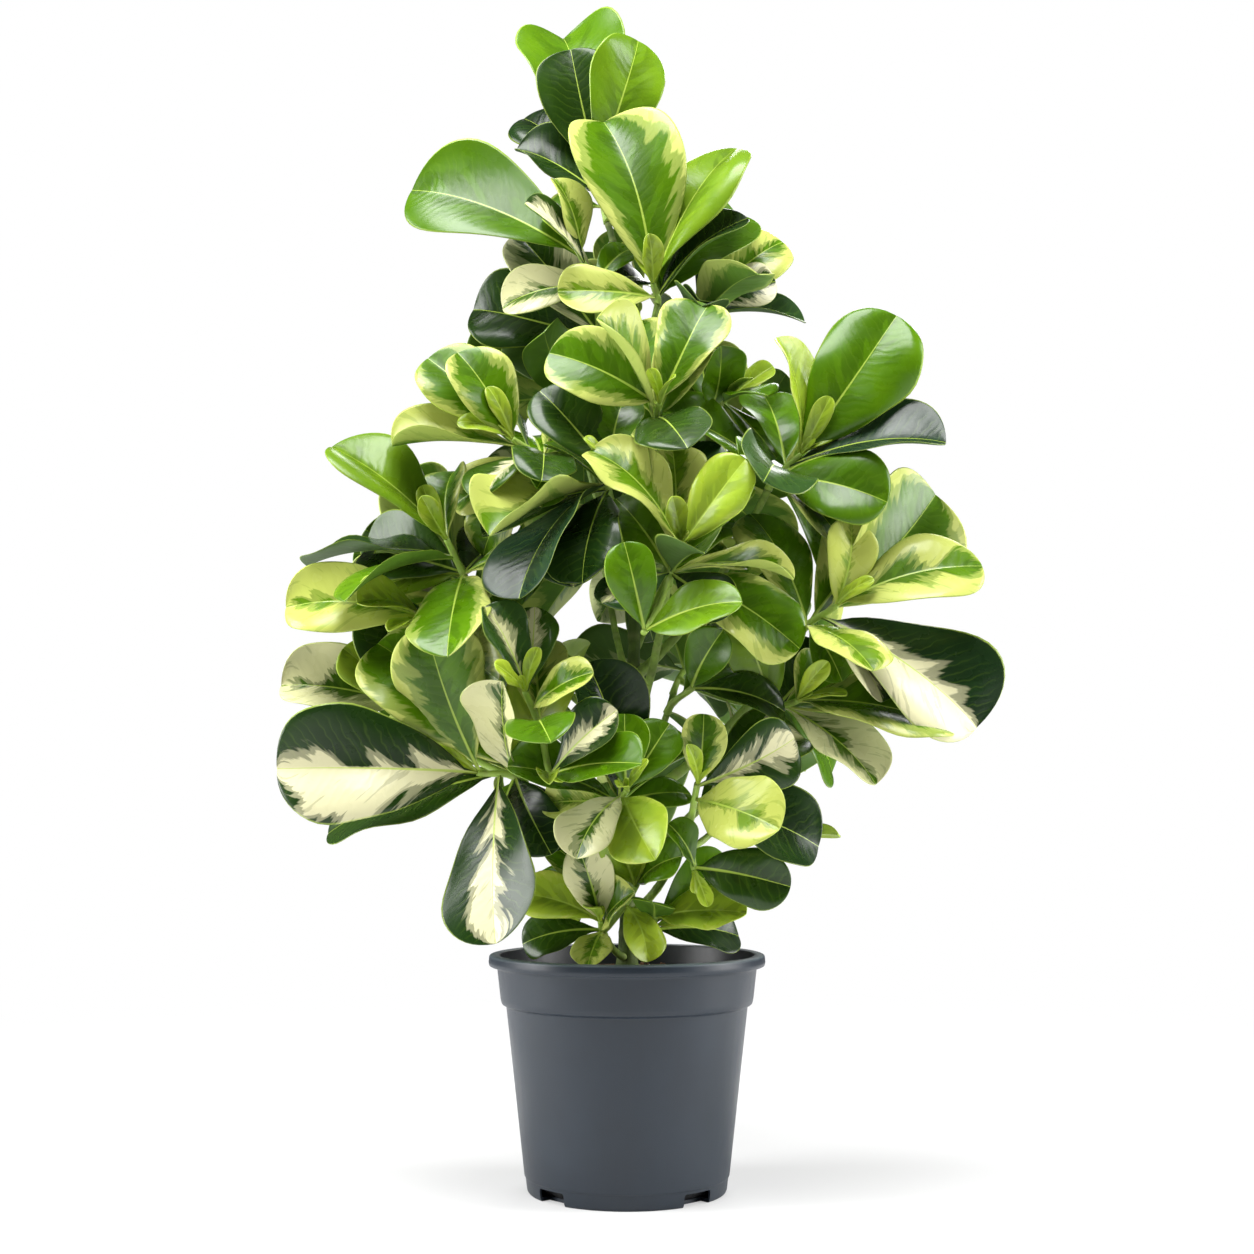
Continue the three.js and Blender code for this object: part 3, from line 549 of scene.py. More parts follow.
def clear_of_pot(skin):
    """A leaf stays over the soil and the rim of the pot."""
    over_soil = np.hypot(skin.points[:, 0], skin.points[:, 1]) < NECK_RADIUS - POT_WALL - RIM_MARGIN
    return bool(np.all(skin.points[:, 2] > np.where(over_soil, SOIL_TOP, POT_HEIGHT) + SOIL_CLEARANCE))


def inside_crown(skin):
    """A leaf that the rule grows stays within the reach of the crown at each of its heights."""
    reach = np.hypot(skin.points[:, 0], skin.points[:, 1])
    return bool(np.all(reach <= between(CROWN_REACH, skin.points[:, 2])))


def inside_mass(skin, mass):
    """A leaf finer than the solids hold stays in the box of its mass."""
    low, high = (np.array(corner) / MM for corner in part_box(f"mass_{mass}"))
    return bool(np.all(skin.low >= low) and np.all(skin.high <= high))


# Groups of skins: the wood, each shoot's leaves under the shoot's number, and each mass's twigs from here up
WOOD_GROUP = -1
MASS_GROUP = 1000


class Growth:
    """The plant's limbs, twigs and leaves, grown as the solids are, then carried to finer leaves."""

    def __init__(self):
        self.full, self.outer = Skins(), Skins()
        self.limbs, self.shoots = {}, []
        trunk = Limb(TRUNK_POINTS, self.trunk_radius, TRUNK_SIDES, TRUNK_STEPS)
        self.limbs["trunk"] = trunk
        self.add_limb(trunk, WOOD_GROUP)
        back = [self.back_row(index) for index in range(BACK_COUNT)]
        for row in BOUGHS + [bough for bough, _ in back]:
            self.build_bough(row)
        self.masses = MASSES + [mass for _, mass in back]
        for number, row in enumerate(self.masses):
            self.build_shoots(row, MASS_GROUP + number)
        for stage in (self.grow_leading, self.grow_pairs, self.grow_tips, self.grow_fill):
            for shoot in self.shoots:
                stage(shoot)

    @staticmethod
    def trunk_radius(share):
        """An even taper, plus a flare at the soil that dies away as it rises."""
        risen = share * 3 * (TRUNK_POINTS[1][2] - TRUNK_POINTS[0][2])
        even = TRUNK_FOOT_RADIUS + (TRUNK_TIP_RADIUS - TRUNK_FOOT_RADIUS) * share
        return even + FLARE_RADIUS * np.exp(-risen / FLARE_HEIGHT)

    def add_limb(self, part, group):
        skin = limb_skin(part, CLEARANCE)
        self.full.add(group, skin)
        self.outer.add(group, skin)

    def trunk_share(self, height):
        """The share of the trunk's curve at a height, by halving."""
        low, high = 0.0, 1.0
        for _ in range(HALVINGS):
            middle = (low + high) / 2
            if self.limbs["trunk"].at(middle)[2] < height:
                low = middle
            else:
                high = middle
        return low

    def build_bough(self, row):
        name, height, azimuth, reach, tip_height, foot_radius, tip_radius = row
        foot = self.limbs["trunk"].at(self.trunk_share(height))
        points = sagging_points(foot, place(azimuth, reach, tip_height), BOUGH_SAG)
        self.limbs[name] = Limb(points, taper(foot_radius, tip_radius), BOUGH_SIDES, BOUGH_STEPS)
        self.add_limb(self.limbs[name], WOOD_GROUP)

    @staticmethod
    def back_row(index):
        """The rows of one back bough and its mass: azimuths turn by the golden share as heights rise."""
        height = BACK_FIRST_HEIGHT + (BACK_LAST_HEIGHT - BACK_FIRST_HEIGHT) * index / (BACK_COUNT - 1)
        azimuth = BACK_FIRST_AZIMUTH + BACK_SPREAD * ((0.5 + GOLDEN_SHARE * index) % 1)
        outward = between(BACK_REACH, height)
        name = f"back_{index + 1}"
        foot = SOIL_TOP + BACK_FOOT_RISE * (height - SOIL_TOP) - BACK_FOOT_DROP
        radius = BACK_FOOT_RADIUS - BACK_FOOT_TAPER * index
        side = azimuth + (BACK_SIDE_TURN if index % 2 == 0 else -BACK_SIDE_TURN)
        bough = (name, foot, azimuth, BACK_TIP_REACH * outward, height - BACK_TIP_DROP,
                 radius, BACK_TIP_RADIUS)
        return bough, (name, name, [
            (0, azimuth, outward, height, azimuth, BACK_PAIRS[0], []),
            (BACK_SIDE_SHARE, side, BACK_SIDE_REACH * outward, height - BACK_SIDE_DROP, side,
             BACK_PAIRS[1], []),
        ])

    @staticmethod
    def main_twig(bough, tip):
        """A curve that leaves the bough's tip in the bough's own direction and ends at the shoot's tip."""
        start = bough.heading(1.0)
        foot = bough.at(1.0) + start * GAP
        span = np.linalg.norm(tip - foot)
        points = [foot, foot + start * TWIG_START_PULL * span, tip + (foot - tip) * TWIG_END_PULL, tip]
        return Limb(points, taper(bough.radius(1), TWIG_TIP_RADIUS), TWIG_SIDES, TWIG_STEPS)

    @staticmethod
    def side_twig(main, share, tip):
        foot = main.at(max(share, SIDE_TWIG_SHARE))
        points = sagging_points(foot, tip, BRANCH_SAG)
        return Limb(points, taper(BRANCH_RADIUS, TWIG_TIP_RADIUS), TWIG_SIDES, TWIG_STEPS)

    def build_shoots(self, row, group):
        """Twigs of a mass: the main one goes on from the bough's tip, and the others leave it."""
        mass, bough_name, rows = row
        main = None
        for share, azimuth, reach, height, facing, pairs, leading in rows:
            tip = place(azimuth, reach, height)
            twig = self.side_twig(main, share, tip) if main else self.main_twig(self.limbs[bough_name], tip)
            main = main or twig
            axis = twig.heading(1.0)
            sideways = unit(np.cross(axis, cross_reference(axis)))
            self.add_limb(twig, group)
            self.shoots.append(SimpleNamespace(
                mass=mass, group=group, number=len(self.shoots), twig=twig, axis=axis, sideways=sideways,
                crossways=np.cross(sideways, axis), length=np.linalg.norm(twig.at(1.0) - twig.at(0.0)),
                light=direction(facing, LIGHT_RISE), pairs=pairs, leading=leading, leaves=[]))

    def is_clear(self, leaf, shoot, limit):
        """Whether a leaf is over the pot, within its limit and clear of all wood, twigs and leaves."""
        full, outer = leaf_skins(leaf, CLEARANCE)
        if not clear_of_pot(outer) or not limit(full, outer):
            return False
        groups = (shoot.number, shoot.group)
        return not (self.outer.touched_by(outer, groups, True) or self.full.touched_by(full, groups, False))

    def try_leaf(self, shoot, order, chord, size, roll, node, limit, tries=TRIES):
        """A leaf that would touch another turns a little further at each try, until it is left out."""
        share = max(LOWEST_ROOT, 1 - INTERNODE * (node + FIRST_NODE) / shoot.length)
        root = shoot.twig.at(share)
        draw = Draws(shoot.number, order)
        for attempt in range(tries):
            swing = SWING_STEP * attempt
            moved = chord + shoot.sideways * draw(-swing, swing)
            moved = unit(moved + shoot.crossways * draw(-swing, swing))
            tilt = roll + draw(-TILT_STEP, TILT_STEP) * attempt
            leaf = make_leaf(root, moved, shoot.light, size * (1 - SHRINK_STEP * attempt), tilt, draw)
            if self.is_clear(leaf, shoot, limit):
                full, outer = leaf_skins(leaf, 0)
                self.full.add(shoot.number, full)
                self.outer.add(shoot.number, outer)
                leaf.order, leaf.number, leaf.node = order, shoot.number, node
                shoot.leaves.append(leaf)
                return leaf
        return None

    def grow_leading(self, shoot):
        """The leaves with a direction, length and colouring of their own, two to a node."""
        for order, (azimuth, rise, size, roll, colouring) in enumerate(shoot.leading):
            leaf = self.try_leaf(shoot, order, direction(azimuth, rise), size, roll, order // 2,
                                 lambda full, outer: True)
            if leaf:
                leaf.colouring = colouring

    def grow_pairs(self, shoot):
        """Pairs below the leading leaves: each stands across the one above it and leans out further."""
        self.grow_nodes(shoot, shoot.pairs, PAIR_SIZE, PAIR_DRAWS, len(shoot.leading), TRIES,
                        lambda full, outer: inside_crown(outer))

    def grow_nodes(self, shoot, count, sizes, draws, first_order, tries, limit):
        """Opposite leaves at each node: half a turn apart, a quarter turn on from the node above."""
        draw = Draws(shoot.number, draws)
        first_turn = draw(0, 360)
        first_node = (len(shoot.leading) + 1) // 2
        for node in range(count):
            steepest = min(PAIR_LEAN_MOST, PAIR_LEAN + PAIR_LEAN_STEP * (node + first_node))
            for half in range(2):
                turn = np.radians(first_turn + PAIR_TURN * node + 180 * half)
                lean = np.radians(steepest + draw(-PAIR_LEAN_SPREAD, PAIR_LEAN_SPREAD))
                chord = shoot.axis * np.cos(lean) + turned(shoot.sideways, shoot.axis, turn) * np.sin(lean)
                size = draw(*sizes)
                self.try_leaf(shoot, first_order + 2 * node + half, chord, size, draw(-PAIR_ROLL, PAIR_ROLL),
                              node + first_node, limit, tries)

    def grow_tips(self, shoot):
        """Young leaves at the shoot's tip: each pair smaller and more upright than the one outside it."""
        if not shoot.pairs:
            return
        draw = Draws(shoot.number, TIP_FIRST_ORDER)
        first_turn = draw(0, 360)
        for rank, (smallest, largest, lean) in enumerate(TIP_PAIRS):
            for half in range(2):
                turn = np.radians(first_turn + PAIR_TURN * rank + 180 * half)
                tilt = np.radians(lean + draw(-PAIR_LEAN_SPREAD / 2, PAIR_LEAN_SPREAD / 2))
                chord = shoot.axis * np.cos(tilt) + turned(shoot.sideways, shoot.axis, turn) * np.sin(tilt)
                self.try_leaf(shoot, TIP_FIRST_ORDER + 2 * rank + half, chord, draw(smallest, largest), 0,
                              -FIRST_NODE, lambda full, outer: inside_mass(full, shoot.mass), FILL_TRIES)

    def grow_fill(self, shoot):
        """Smaller leaves between the others, within the reach of the mass."""
        if not shoot.pairs:
            return
        self.grow_nodes(shoot, FILL_NODES, FILL_SIZE, FILL_DRAWS, FILL_FIRST_ORDER, FILL_TRIES,
                        lambda full, outer: inside_crown(outer) and inside_mass(full, shoot.mass))


@lru_cache(maxsize=None)
def plant():
    return Growth()


# Colourings of a leaf: how far from the midrib its pale edge starts (above 1: none), how wide its pale
# heart is, how ragged the borders are, its tone from dark to lime, its blueness, how white the pale is, and
# how much more of the pale lies on its left side (below 0: on its right)
COLOURINGS = {
    "green": (1.9, 0, 0.5, 0.4, 0.1, 0.2, 0),
    "fresh": (1.7, 0, 0.5, 0.62, 0.0, 0.2, 0),
    "lime": (1.1, 0, 0.5, 0.88, 0.0, 0.0, 0),
    "dark": (1.9, 0, 0.5, 0.08, 0.2, 0.3, 0),
    "blue": (1.9, 0, 0.5, 0.06, 0.9, 0.5, 0),
    "edged": (0.86, 0, 0.4, 0.42, 0.05, 0.15, 0),
    "yellow": (0.24, 0, 0.6, 0.62, 0.0, 0.08, 0.1),
    "cream_edged": (0.46, 0, 0.7, 0.55, 0.0, 0.12, 0.1),
    "cream_hearted": (1.9, 0.3, 0.8, 0.12, 0.25, 0.75, -0.3),
    "cream_flamed": (1.9, 0.2, 0.75, 0.12, 0.2, 0.75, 0.25),
    "cream_below": (1.9, 0.36, 0.75, 0.14, 0.15, 0.75, -0.75),
    "half_cream": (1.9, 0.55, 0.42, 0.08, 0.4, 0.75, 0.85),
    "white": (0.3, 0, 0.7, 0.2, 0.2, 0.6, 0.2),
    "white_edged": (0.62, 0, 0.55, 0.1, 0.35, 0.75, 0.3),
    "striped": (1.9, 0.16, 0.4, 0.16, 0.8, 0.6, 0),
}
# How often each colouring falls on a leaf that the rule grows
COMMON = (("edged", 0.34), ("green", 0.22), ("dark", 0.18), ("cream_edged", 0.09), ("fresh", 0.08),
          ("lime", 0.05), ("cream_hearted", 0.03), ("white", 0.01))
LOOK_DRAWS = 300
SAME_COLOURING = 0.35
EDGE_SPREAD = 0.05
HEART_SPREAD = (0.8, 1.2)
TONE_SPREAD = 0.09
SEED_RANGE = (0, 50)
LEAN_SPREAD = 0.6
LEAN_MOST = 0.95
EDGE_LEAN = 0.3

# Leaf forms: how far the edges curl, how deep the blade is cupped, how far its tip bends back, the size, rate
# and phase of its waves, its twist in radians and the sway of its midrib as a share of its length
CURL = (-0.1, 0.3)
CUP = (-0.08, 0.26)
CUPPED = 0.35
CUPPED_SHARE = 0.2
RECURVE = (0, 0.09)
WAVE_SIZE = (0.03, 0.15)
WAVE_RATE = (0.9, 2.1)
WAVE_PHASE = (0, 6.28)
TWIST = (-0.3, 0.3)
SWAY = (-0.035, 0.035)

# Leaf outlines: how quickly a blade widens from its foot, how blunt its tip is, how its sides differ, and
# how much slimmer than in the solids a young or a grown leaf is
FOOT_ROUND = (0.62, 0.95)
TIP_BLUNT = (2.2, 3.4)
UNEVEN_SIDES = 0.07
YOUNG_WIDTH = 0.68
SLIMMER = (0.86, 1)
EDGE_WAVE = 0.035
EDGE_WAVE_RATE = 1.3
STALK_END = 8
OUTLINE_SAMPLES = 200


def dress_leaf(leaf, shoot):
    """Draws a leaf's colouring and the small turns of its form that the coarse solids leave out."""
    draw = Draws(leaf.number, LOOK_DRAWS + leaf.order)
    if not hasattr(leaf, "colouring"):
        own = [row[-1] for row in shoot.leading if row[-1] != "lime"]
        pick = draw(0, 1)
        if own and draw(0, 1) < SAME_COLOURING:
            leaf.colouring = own[int(pick * len(own))]
        else:
            names, shares = zip(*COMMON)
            leaf.colouring = names[int(np.searchsorted(np.cumsum(shares), pick * sum(shares)))]
        if leaf.order >= TIP_FIRST_ORDER and leaf.node < 0:
            leaf.colouring = "lime"
            leaf.width *= YOUNG_WIDTH
    edge, heart, ragged, tone, blue, white, lean = COLOURINGS[leaf.colouring]
    leaf.pattern = (edge + draw(-EDGE_SPREAD, EDGE_SPREAD), heart * draw(*HEART_SPREAD), ragged)
    leaf.tone = (np.clip(tone + draw(-TONE_SPREAD, TONE_SPREAD), 0, 1), blue, white)
    leaf.seed = draw(*SEED_RANGE)
    own_lean = LEAN_SPREAD if leaf.order >= len(shoot.leading) else 0
    leaf.lean = np.clip(lean + draw(-own_lean, own_lean), -LEAN_MOST, LEAN_MOST)
    leaf.curl = (draw(*CURL), draw(*CURL))
    leaf.cup = draw(*CUP) + (CUPPED if draw(0, 1) < CUPPED_SHARE else 0)
    leaf.recurve = draw(*RECURVE)
    leaf.waves = (draw(*WAVE_SIZE), draw(*WAVE_RATE), draw(*WAVE_PHASE), draw(*WAVE_PHASE))
    leaf.width *= 1 if leaf.order < len(shoot.leading) else draw(*SLIMMER)
    leaf.twist = draw(*TWIST)
    leaf.sway = draw(*SWAY)
    leaf.shape = (draw(*FOOT_ROUND), draw(*TIP_BLUNT), draw(-UNEVEN_SIDES, UNEVEN_SIDES))


def blade_width(leaf, share, across):
    """Half the width: a power of the way up the blade, closed by a round tip, uneven and a little wavy."""
    foot, blunt, uneven = leaf.shape
    blade = np.clip((share - BLADE_START) / (1 - BLADE_START), 0, 1)
    way = np.linspace(0, 1, OUTLINE_SAMPLES)
    peak = (way ** foot * np.sqrt(1 - way ** blunt)).max()
    outline = blade ** foot * np.sqrt(1 - blade ** blunt) / peak
    stalk = ROOT_HALF_WIDTH + (PETIOLE_HALF_WIDTH - ROOT_HALF_WIDTH) * np.clip(share / BLADE_START, 0, 1)
    stalk = stalk * np.sqrt(1 - share ** STALK_END)
    phase = np.where(across < 0, *leaf.waves[2:])
    ripple = EDGE_WAVE * np.sin(2 * np.pi * leaf.waves[1] * EDGE_WAVE_RATE * share + phase) * blade
    return np.maximum(stalk, leaf.width / 2 * outline * (1 + uneven * np.sign(across) + ripple))


# Leaf meshes: rings from root to tip, each with columns over the upper side and back under the lower one
LEAF_ROWS = 24
SIDE_COLUMNS = 14
ROW_POWER = 2.6
ROW_LIFT = 1.6
COLUMN_CROWDING = 0.85
BLADE_HALF_THICKNESS = 0.65
EDGE_ROUNDNESS = 8
RIB_HEIGHT = 1.3
RIB_WIDTH = 1.3
RIB_FADE = 1.2
GROOVE_DEPTH = 0.4
GROOVE_RISE = 8
SOFT_FOLD = 0.05
TWIST_PIVOT = 0.3
WAVE_RISE = 4
RECURVE_POWER = 4


def leaf_columns():
    """Places across the blade and the side each lies on: over the top from -1 to 1, then back below."""
    t = np.linspace(-1, 1, SIDE_COLUMNS + 1)
    across = t - COLUMN_CROWDING * np.sin(2 * np.pi * t) / (2 * np.pi)
    side = np.concatenate([np.ones(SIDE_COLUMNS + 1), -np.ones(SIDE_COLUMNS - 1)])
    return np.concatenate([across, across[-2:0:-1]]), side


def leaf_surface(leaf):
    """The blade as rings of points: the source's arc and fold, softened, waved, twisted and rib-backed."""
    t = np.arange(LEAF_ROWS) / LEAF_ROWS
    share = (1 - (1 - t) ** ROW_POWER * (1 + ROW_LIFT * t))[:, None]
    across, side = leaf_columns()
    share, across, side = np.broadcast_arrays(share, across[None], side[None])
    point, normal = leaf_frame(leaf, share)
    width = blade_width(leaf, share, across)
    twist = (leaf.twist * (share - TWIST_PIVOT))[..., None]
    sideways = leaf.side * np.cos(twist) + normal * np.sin(twist)
    upward = normal * np.cos(twist) - leaf.side * np.sin(twist)
    size, rate, left, right = leaf.waves
    phase = np.where(across < 0, left, right)
    curl = np.where(across < 0, *leaf.curl)
    wave = size * across ** 2 * np.sin(2 * np.pi * rate * share + phase) - curl * across ** 4
    wave = wave + leaf.cup * across ** 2 * share
    crease = np.sqrt(across ** 2 + SOFT_FOLD ** 2) - SOFT_FOLD
    lift = width * (crease * np.sin(leaf.fold) + wave * np.clip(share * WAVE_RISE, 0, 1))
    rib = np.exp(-(across * width / RIB_WIDTH) ** 2)
    body = BLADE_HALF_THICKNESS * np.sqrt(1 - np.abs(across) ** EDGE_ROUNDNESS)
    lower = body + RIB_HEIGHT * (1 - share) ** RIB_FADE * rib
    upper = body - GROOVE_DEPTH * (1 - share) * rib * np.clip(share * GROOVE_RISE, 0, 1)
    lift = lift + np.where(side > 0, upper, -lower)
    lift = lift - leaf.recurve * leaf.length * share ** RECURVE_POWER
    sway = leaf.sway * leaf.length * np.sin(np.pi * share)
    offset = across * width * np.cos(leaf.fold) + sway
    points = point + sideways * offset[..., None] + upward * lift[..., None]
    return points, share, across, side, across * width


def ring_faces(rows, columns):
    """Four-sided faces between rings, wound so that they face out, as indices into the ring points."""
    here = np.arange(rows * columns).reshape(rows, columns)
    beside = np.roll(here, -1, axis=1)
    return np.stack([here[:-1], beside[:-1], beside[1:], here[1:]], -1).reshape(-1, 4)


def cap_faces(ring, centre, outward):
    """Three-sided faces from a ring to a centre point."""
    beside = np.roll(ring, -1)
    first, second = (ring, beside) if outward else (beside, ring)
    return np.stack([first, second, np.full(len(ring), centre)], -1)


NO_TRIANGLES = np.zeros((0, 3), int)


def build_mesh(name, points, quads, triangles, smooth=True):
    """A mesh object from whole arrays: points in millimetres, then four-sided and three-sided faces."""
    mesh = bpy.data.meshes.new(name)
    corners = np.concatenate([quads.ravel(), triangles.ravel()]).astype(np.int32)
    totals = np.concatenate([np.full(len(quads), 4), np.full(len(triangles), 3)])
    mesh.vertices.add(len(points))
    mesh.vertices.foreach_set("co", (points * MM).astype(np.float32).ravel())
    mesh.loops.add(len(corners))
    mesh.loops.foreach_set("vertex_index", corners)
    mesh.polygons.add(len(totals))
    mesh.polygons.foreach_set("loop_start", (np.cumsum(totals) - totals).astype(np.int32))
    mesh.polygons.foreach_set("use_smooth", np.full(len(totals), smooth))
    mesh.update(calc_edges=True)
    piece = bpy.data.objects.new(name, mesh)
    bpy.context.scene.collection.objects.link(piece)
    return piece


def set_values(piece, name, values):
    """A value for each vertex that a material reads: one number or three."""
    values = np.asarray(values, np.float32)
    kind, key = ("FLOAT", "value") if values.ndim == 1 else ("FLOAT_VECTOR", "vector")
    attribute = piece.data.attributes.new(name, kind, "POINT")
    attribute.data.foreach_set(key, values.ravel())


def hold(piece, slot, *nodes):
    """Ties a piece to the pot-and-plant body and hides the solids it stands for; the slot is not used."""
    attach(piece, "root")
    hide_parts(*nodes)


def build_leaves(mass, leaves, material):
    """All the leaves of a mass in one piece, each leaf a closed shell with its place and colouring."""
    columns = 2 * SIDE_COLUMNS
    ring_points = LEAF_ROWS * columns
    quads = ring_faces(LEAF_ROWS, columns)
    first, last = np.arange(columns), np.arange(ring_points - columns, ring_points)
    caps = np.concatenate([cap_faces(last, ring_points, True), cap_faces(first, ring_points + 1, False)])
    stride = ring_points + 2
    shells, spots, places, patterns, tones = [], [], [], [], []
    for leaf in leaves:
        points, share, across, side, from_rib = leaf_surface(leaf)
        tip, tip_normal = leaf_frame(leaf, np.array(1.0))
        ends = np.stack([tip - tip_normal * leaf.recurve * leaf.length, leaf.root])
        shells.append(np.concatenate([points.reshape(-1, 3), ends]))
        place_rows = np.stack([across, share, (side + 1) / 2], -1).reshape(-1, 3)
        places.append(np.concatenate([place_rows, [(0, 1, 0.5), (0, 0, 0.5)]]))
        spot_rows = np.stack([share * leaf.length, from_rib, np.full(share.shape, leaf.seed)], -1)
        spots.append(np.concatenate([spot_rows.reshape(-1, 3),
                                     [(leaf.length, 0, leaf.seed), (0, 0, leaf.seed)]]))
        edge, heart, ragged = leaf.pattern
        lean = leaf.lean * np.sign(across)
        rows = np.stack([edge - EDGE_LEAN * lean * (edge < 1), heart * (1 + lean),
                         np.full(lean.shape, ragged)], -1)
        patterns.append(np.concatenate([rows.reshape(-1, 3), [leaf.pattern, leaf.pattern]]))
        tones.append(leaf.tone)
    count = len(leaves)
    shift = (np.arange(count) * stride)[:, None, None]
    all_quads = (quads[None] + shift).reshape(-1, 4)
    all_caps = (caps[None] + shift).reshape(-1, 3)
    piece = build_mesh(f"leaves_{mass}", np.concatenate(shells), all_quads, all_caps)
    set_values(piece, "leaf_place", np.concatenate(places))
    set_values(piece, "leaf_spot", np.concatenate(spots))
    set_values(piece, "leaf_pattern", np.concatenate(patterns))
    set_values(piece, "leaf_tone", np.repeat(tones, stride, axis=0))
    lay_out_leaves(piece, count, np.concatenate(places), all_quads, all_caps, stride)
    piece.data.materials.append(material)
    hold(piece, "leaves", f"mass_{mass}")
    return piece


# The flat map of a leaf piece: how much of a cell a leaf side fills, the width of a cell to its height, and
# the share of a cell's width that the cap at the root takes
CELL_FILL = 0.94
CELL_SHAPE = 0.64
ROOT_CAP_WIDTH = 0.2


def lay_out_leaves(piece, count, places, quads, caps, stride):
    """A flat map: each side of each leaf has a cell of its own, the blade across it and root to tip up it."""
    cells = 2 * count
    wide = int(np.ceil(np.sqrt(cells / CELL_SHAPE)))
    high = int(np.ceil(cells / wide))
    columns = 2 * SIDE_COLUMNS
    quad_below = (np.arange(len(quads)) % columns) >= SIDE_COLUMNS
    cap_below = (np.arange(len(caps)) % columns) >= SIDE_COLUMNS
    corners = np.concatenate([quads.ravel(), caps.ravel()])
    below = np.concatenate([np.repeat(quad_below, 4), np.repeat(cap_below, 3)])
    cell = 2 * (corners // stride) + below
    across = (places[corners, 0] + 1) / 2
    root_cap = places[corners, 1] == 0
    across = np.where(root_cap, 0.5 + (across - 0.5) * ROOT_CAP_WIDTH, across)
    inset = (1 - CELL_FILL) / 2
    u = (cell % wide + inset + CELL_FILL * across) / wide
    v = (cell // wide + inset + CELL_FILL * places[corners, 1]) / high
    layer = piece.data.uv_layers.new(name="OFBake")
    layer.data.foreach_set("uv", np.stack([u, v], -1).astype(np.float32).ravel())


# Stem meshes: rings along the limb, with a raised scar where each pair of leaves has stood
SCAR_SPACING = 24
SCAR_HALF_HEIGHT = 2.2
SCAR_LIFT = 0.09
COLLAR_LIFT = 0.35
COLLAR_LENGTH = 7
KNOBBLE = 0.05
KNOBBLE_LOBES = 3
KNOBBLE_LENGTHS = (9, 17)
STEM_SEED_STEP = 3.7


def stem_surface(part, rows, columns, age, seed):
    """A tube of the limb's radius: swollen at its foot, ringed by scars, and a little uneven."""
    share = np.broadcast_to(np.linspace(0, 1, rows)[:, None], (rows, columns))
    turn = np.broadcast_to(np.arange(columns)[None] * 2 * np.pi / columns, (rows, columns))
    length = part.length()
    along = share * length
    to_scar = (along + seed) % SCAR_SPACING - SCAR_SPACING / 2
    scar = np.exp(-(to_scar / SCAR_HALF_HEIGHT) ** 2)
    collar = COLLAR_LIFT * np.exp(-along / COLLAR_LENGTH)
    short, long = KNOBBLE_LENGTHS
    uneven = KNOBBLE * np.sin(KNOBBLE_LOBES * turn + along / short + seed) * np.sin(along / long + 2 * seed)
    swell = part.radius(share) * (SCAR_LIFT * scar + collar + uneven)
    points = part.surface(share, np.sin(turn), np.cos(turn), swell)
    marks = np.stack([scar, along, np.full(share.shape, age)], -1)
    return points.reshape(-1, 3), marks.reshape(-1, 3)


def build_stem(name, parts, rows, columns, ages, material):
    """One piece of closed tubes, one for each limb."""
    quads = ring_faces(rows, columns)
    ring_points = rows * columns
    first, last = np.arange(columns), np.arange(ring_points - columns, ring_points)
    caps = np.concatenate([cap_faces(last, ring_points + 1, True), cap_faces(first, ring_points, False)])
    stride = ring_points + 2
    shells, marks = [], []
    for number, (part, age) in enumerate(zip(parts, ages)):
        points, mark = stem_surface(part, rows, columns, age, STEM_SEED_STEP * number)
        shells.append(np.concatenate([points, part.at(np.array([0.0, 1.0]))]))
        marks.append(np.concatenate([mark, [(0, 0, age), (0, part.length(), age)]]))
    shift = (np.arange(len(parts)) * stride)[:, None, None]
    piece = build_mesh(name, np.concatenate(shells), (quads[None] + shift).reshape(-1, 4),
                       (caps[None] + shift).reshape(-1, 3))
    set_values(piece, "bark_place", np.concatenate(marks))
    piece.data.materials.append(material)
    return piece


# Rounded corners of a profile: points in each arc, and the most of a side that an arc may take up
CORNER_STEPS = 5
CORNER_REACH = 0.45


def rounded(outline, radius):
    """The outline with each inner corner turned into an arc: a curve from side to side through the corner."""
    points = [np.array(outline[0], float)]
    for before, corner, after in zip(outline[:-2], outline[1:-1], outline[2:]):
        before, corner, after = (np.array(p, float) for p in (before, corner, after))
        reach = min(radius, CORNER_REACH * np.linalg.norm(before - corner),
                    CORNER_REACH * np.linalg.norm(after - corner))
        start = corner + unit(before - corner) * reach
        end = corner + unit(after - corner) * reach
        t = np.linspace(0, 1, CORNER_STEPS)[:, None]
        points.extend((1 - t) ** 2 * start + 2 * t * (1 - t) * corner + t ** 2 * end)
    points.append(np.array(outline[-1], float))
    return np.array(points)


def spin(name, outline, turns, relief=None):
    """A profile of radius and height carried round the pot's axis, closed at a point on it at each end."""
    turn = np.arange(turns) * 2 * np.pi / turns
    radius, height = outline[1:-1, 0][:, None], outline[1:-1, 1][:, None]
    x, y = radius * np.sin(turn), -radius * np.cos(turn)
    z = np.broadcast_to(height, x.shape)
    if relief:
        z = z + relief(x, y, z)
    points = np.concatenate([np.stack([x, y, z], -1).reshape(-1, 3),
                             [(0, 0, outline[0, 1]), (0, 0, outline[-1, 1])]])
    rows = len(outline) - 2
    ring_points = rows * turns
    caps = np.concatenate([cap_faces(np.arange(turns), ring_points, False),
                           cap_faces(np.arange(ring_points - turns, ring_points), ring_points + 1, True)])
    return build_mesh(name, points, ring_faces(rows, turns), caps)


# How far above the band's step, and how far below the top, the pot's walls change their slope
BAND_RISE = 4
RIM_EDGE = 1


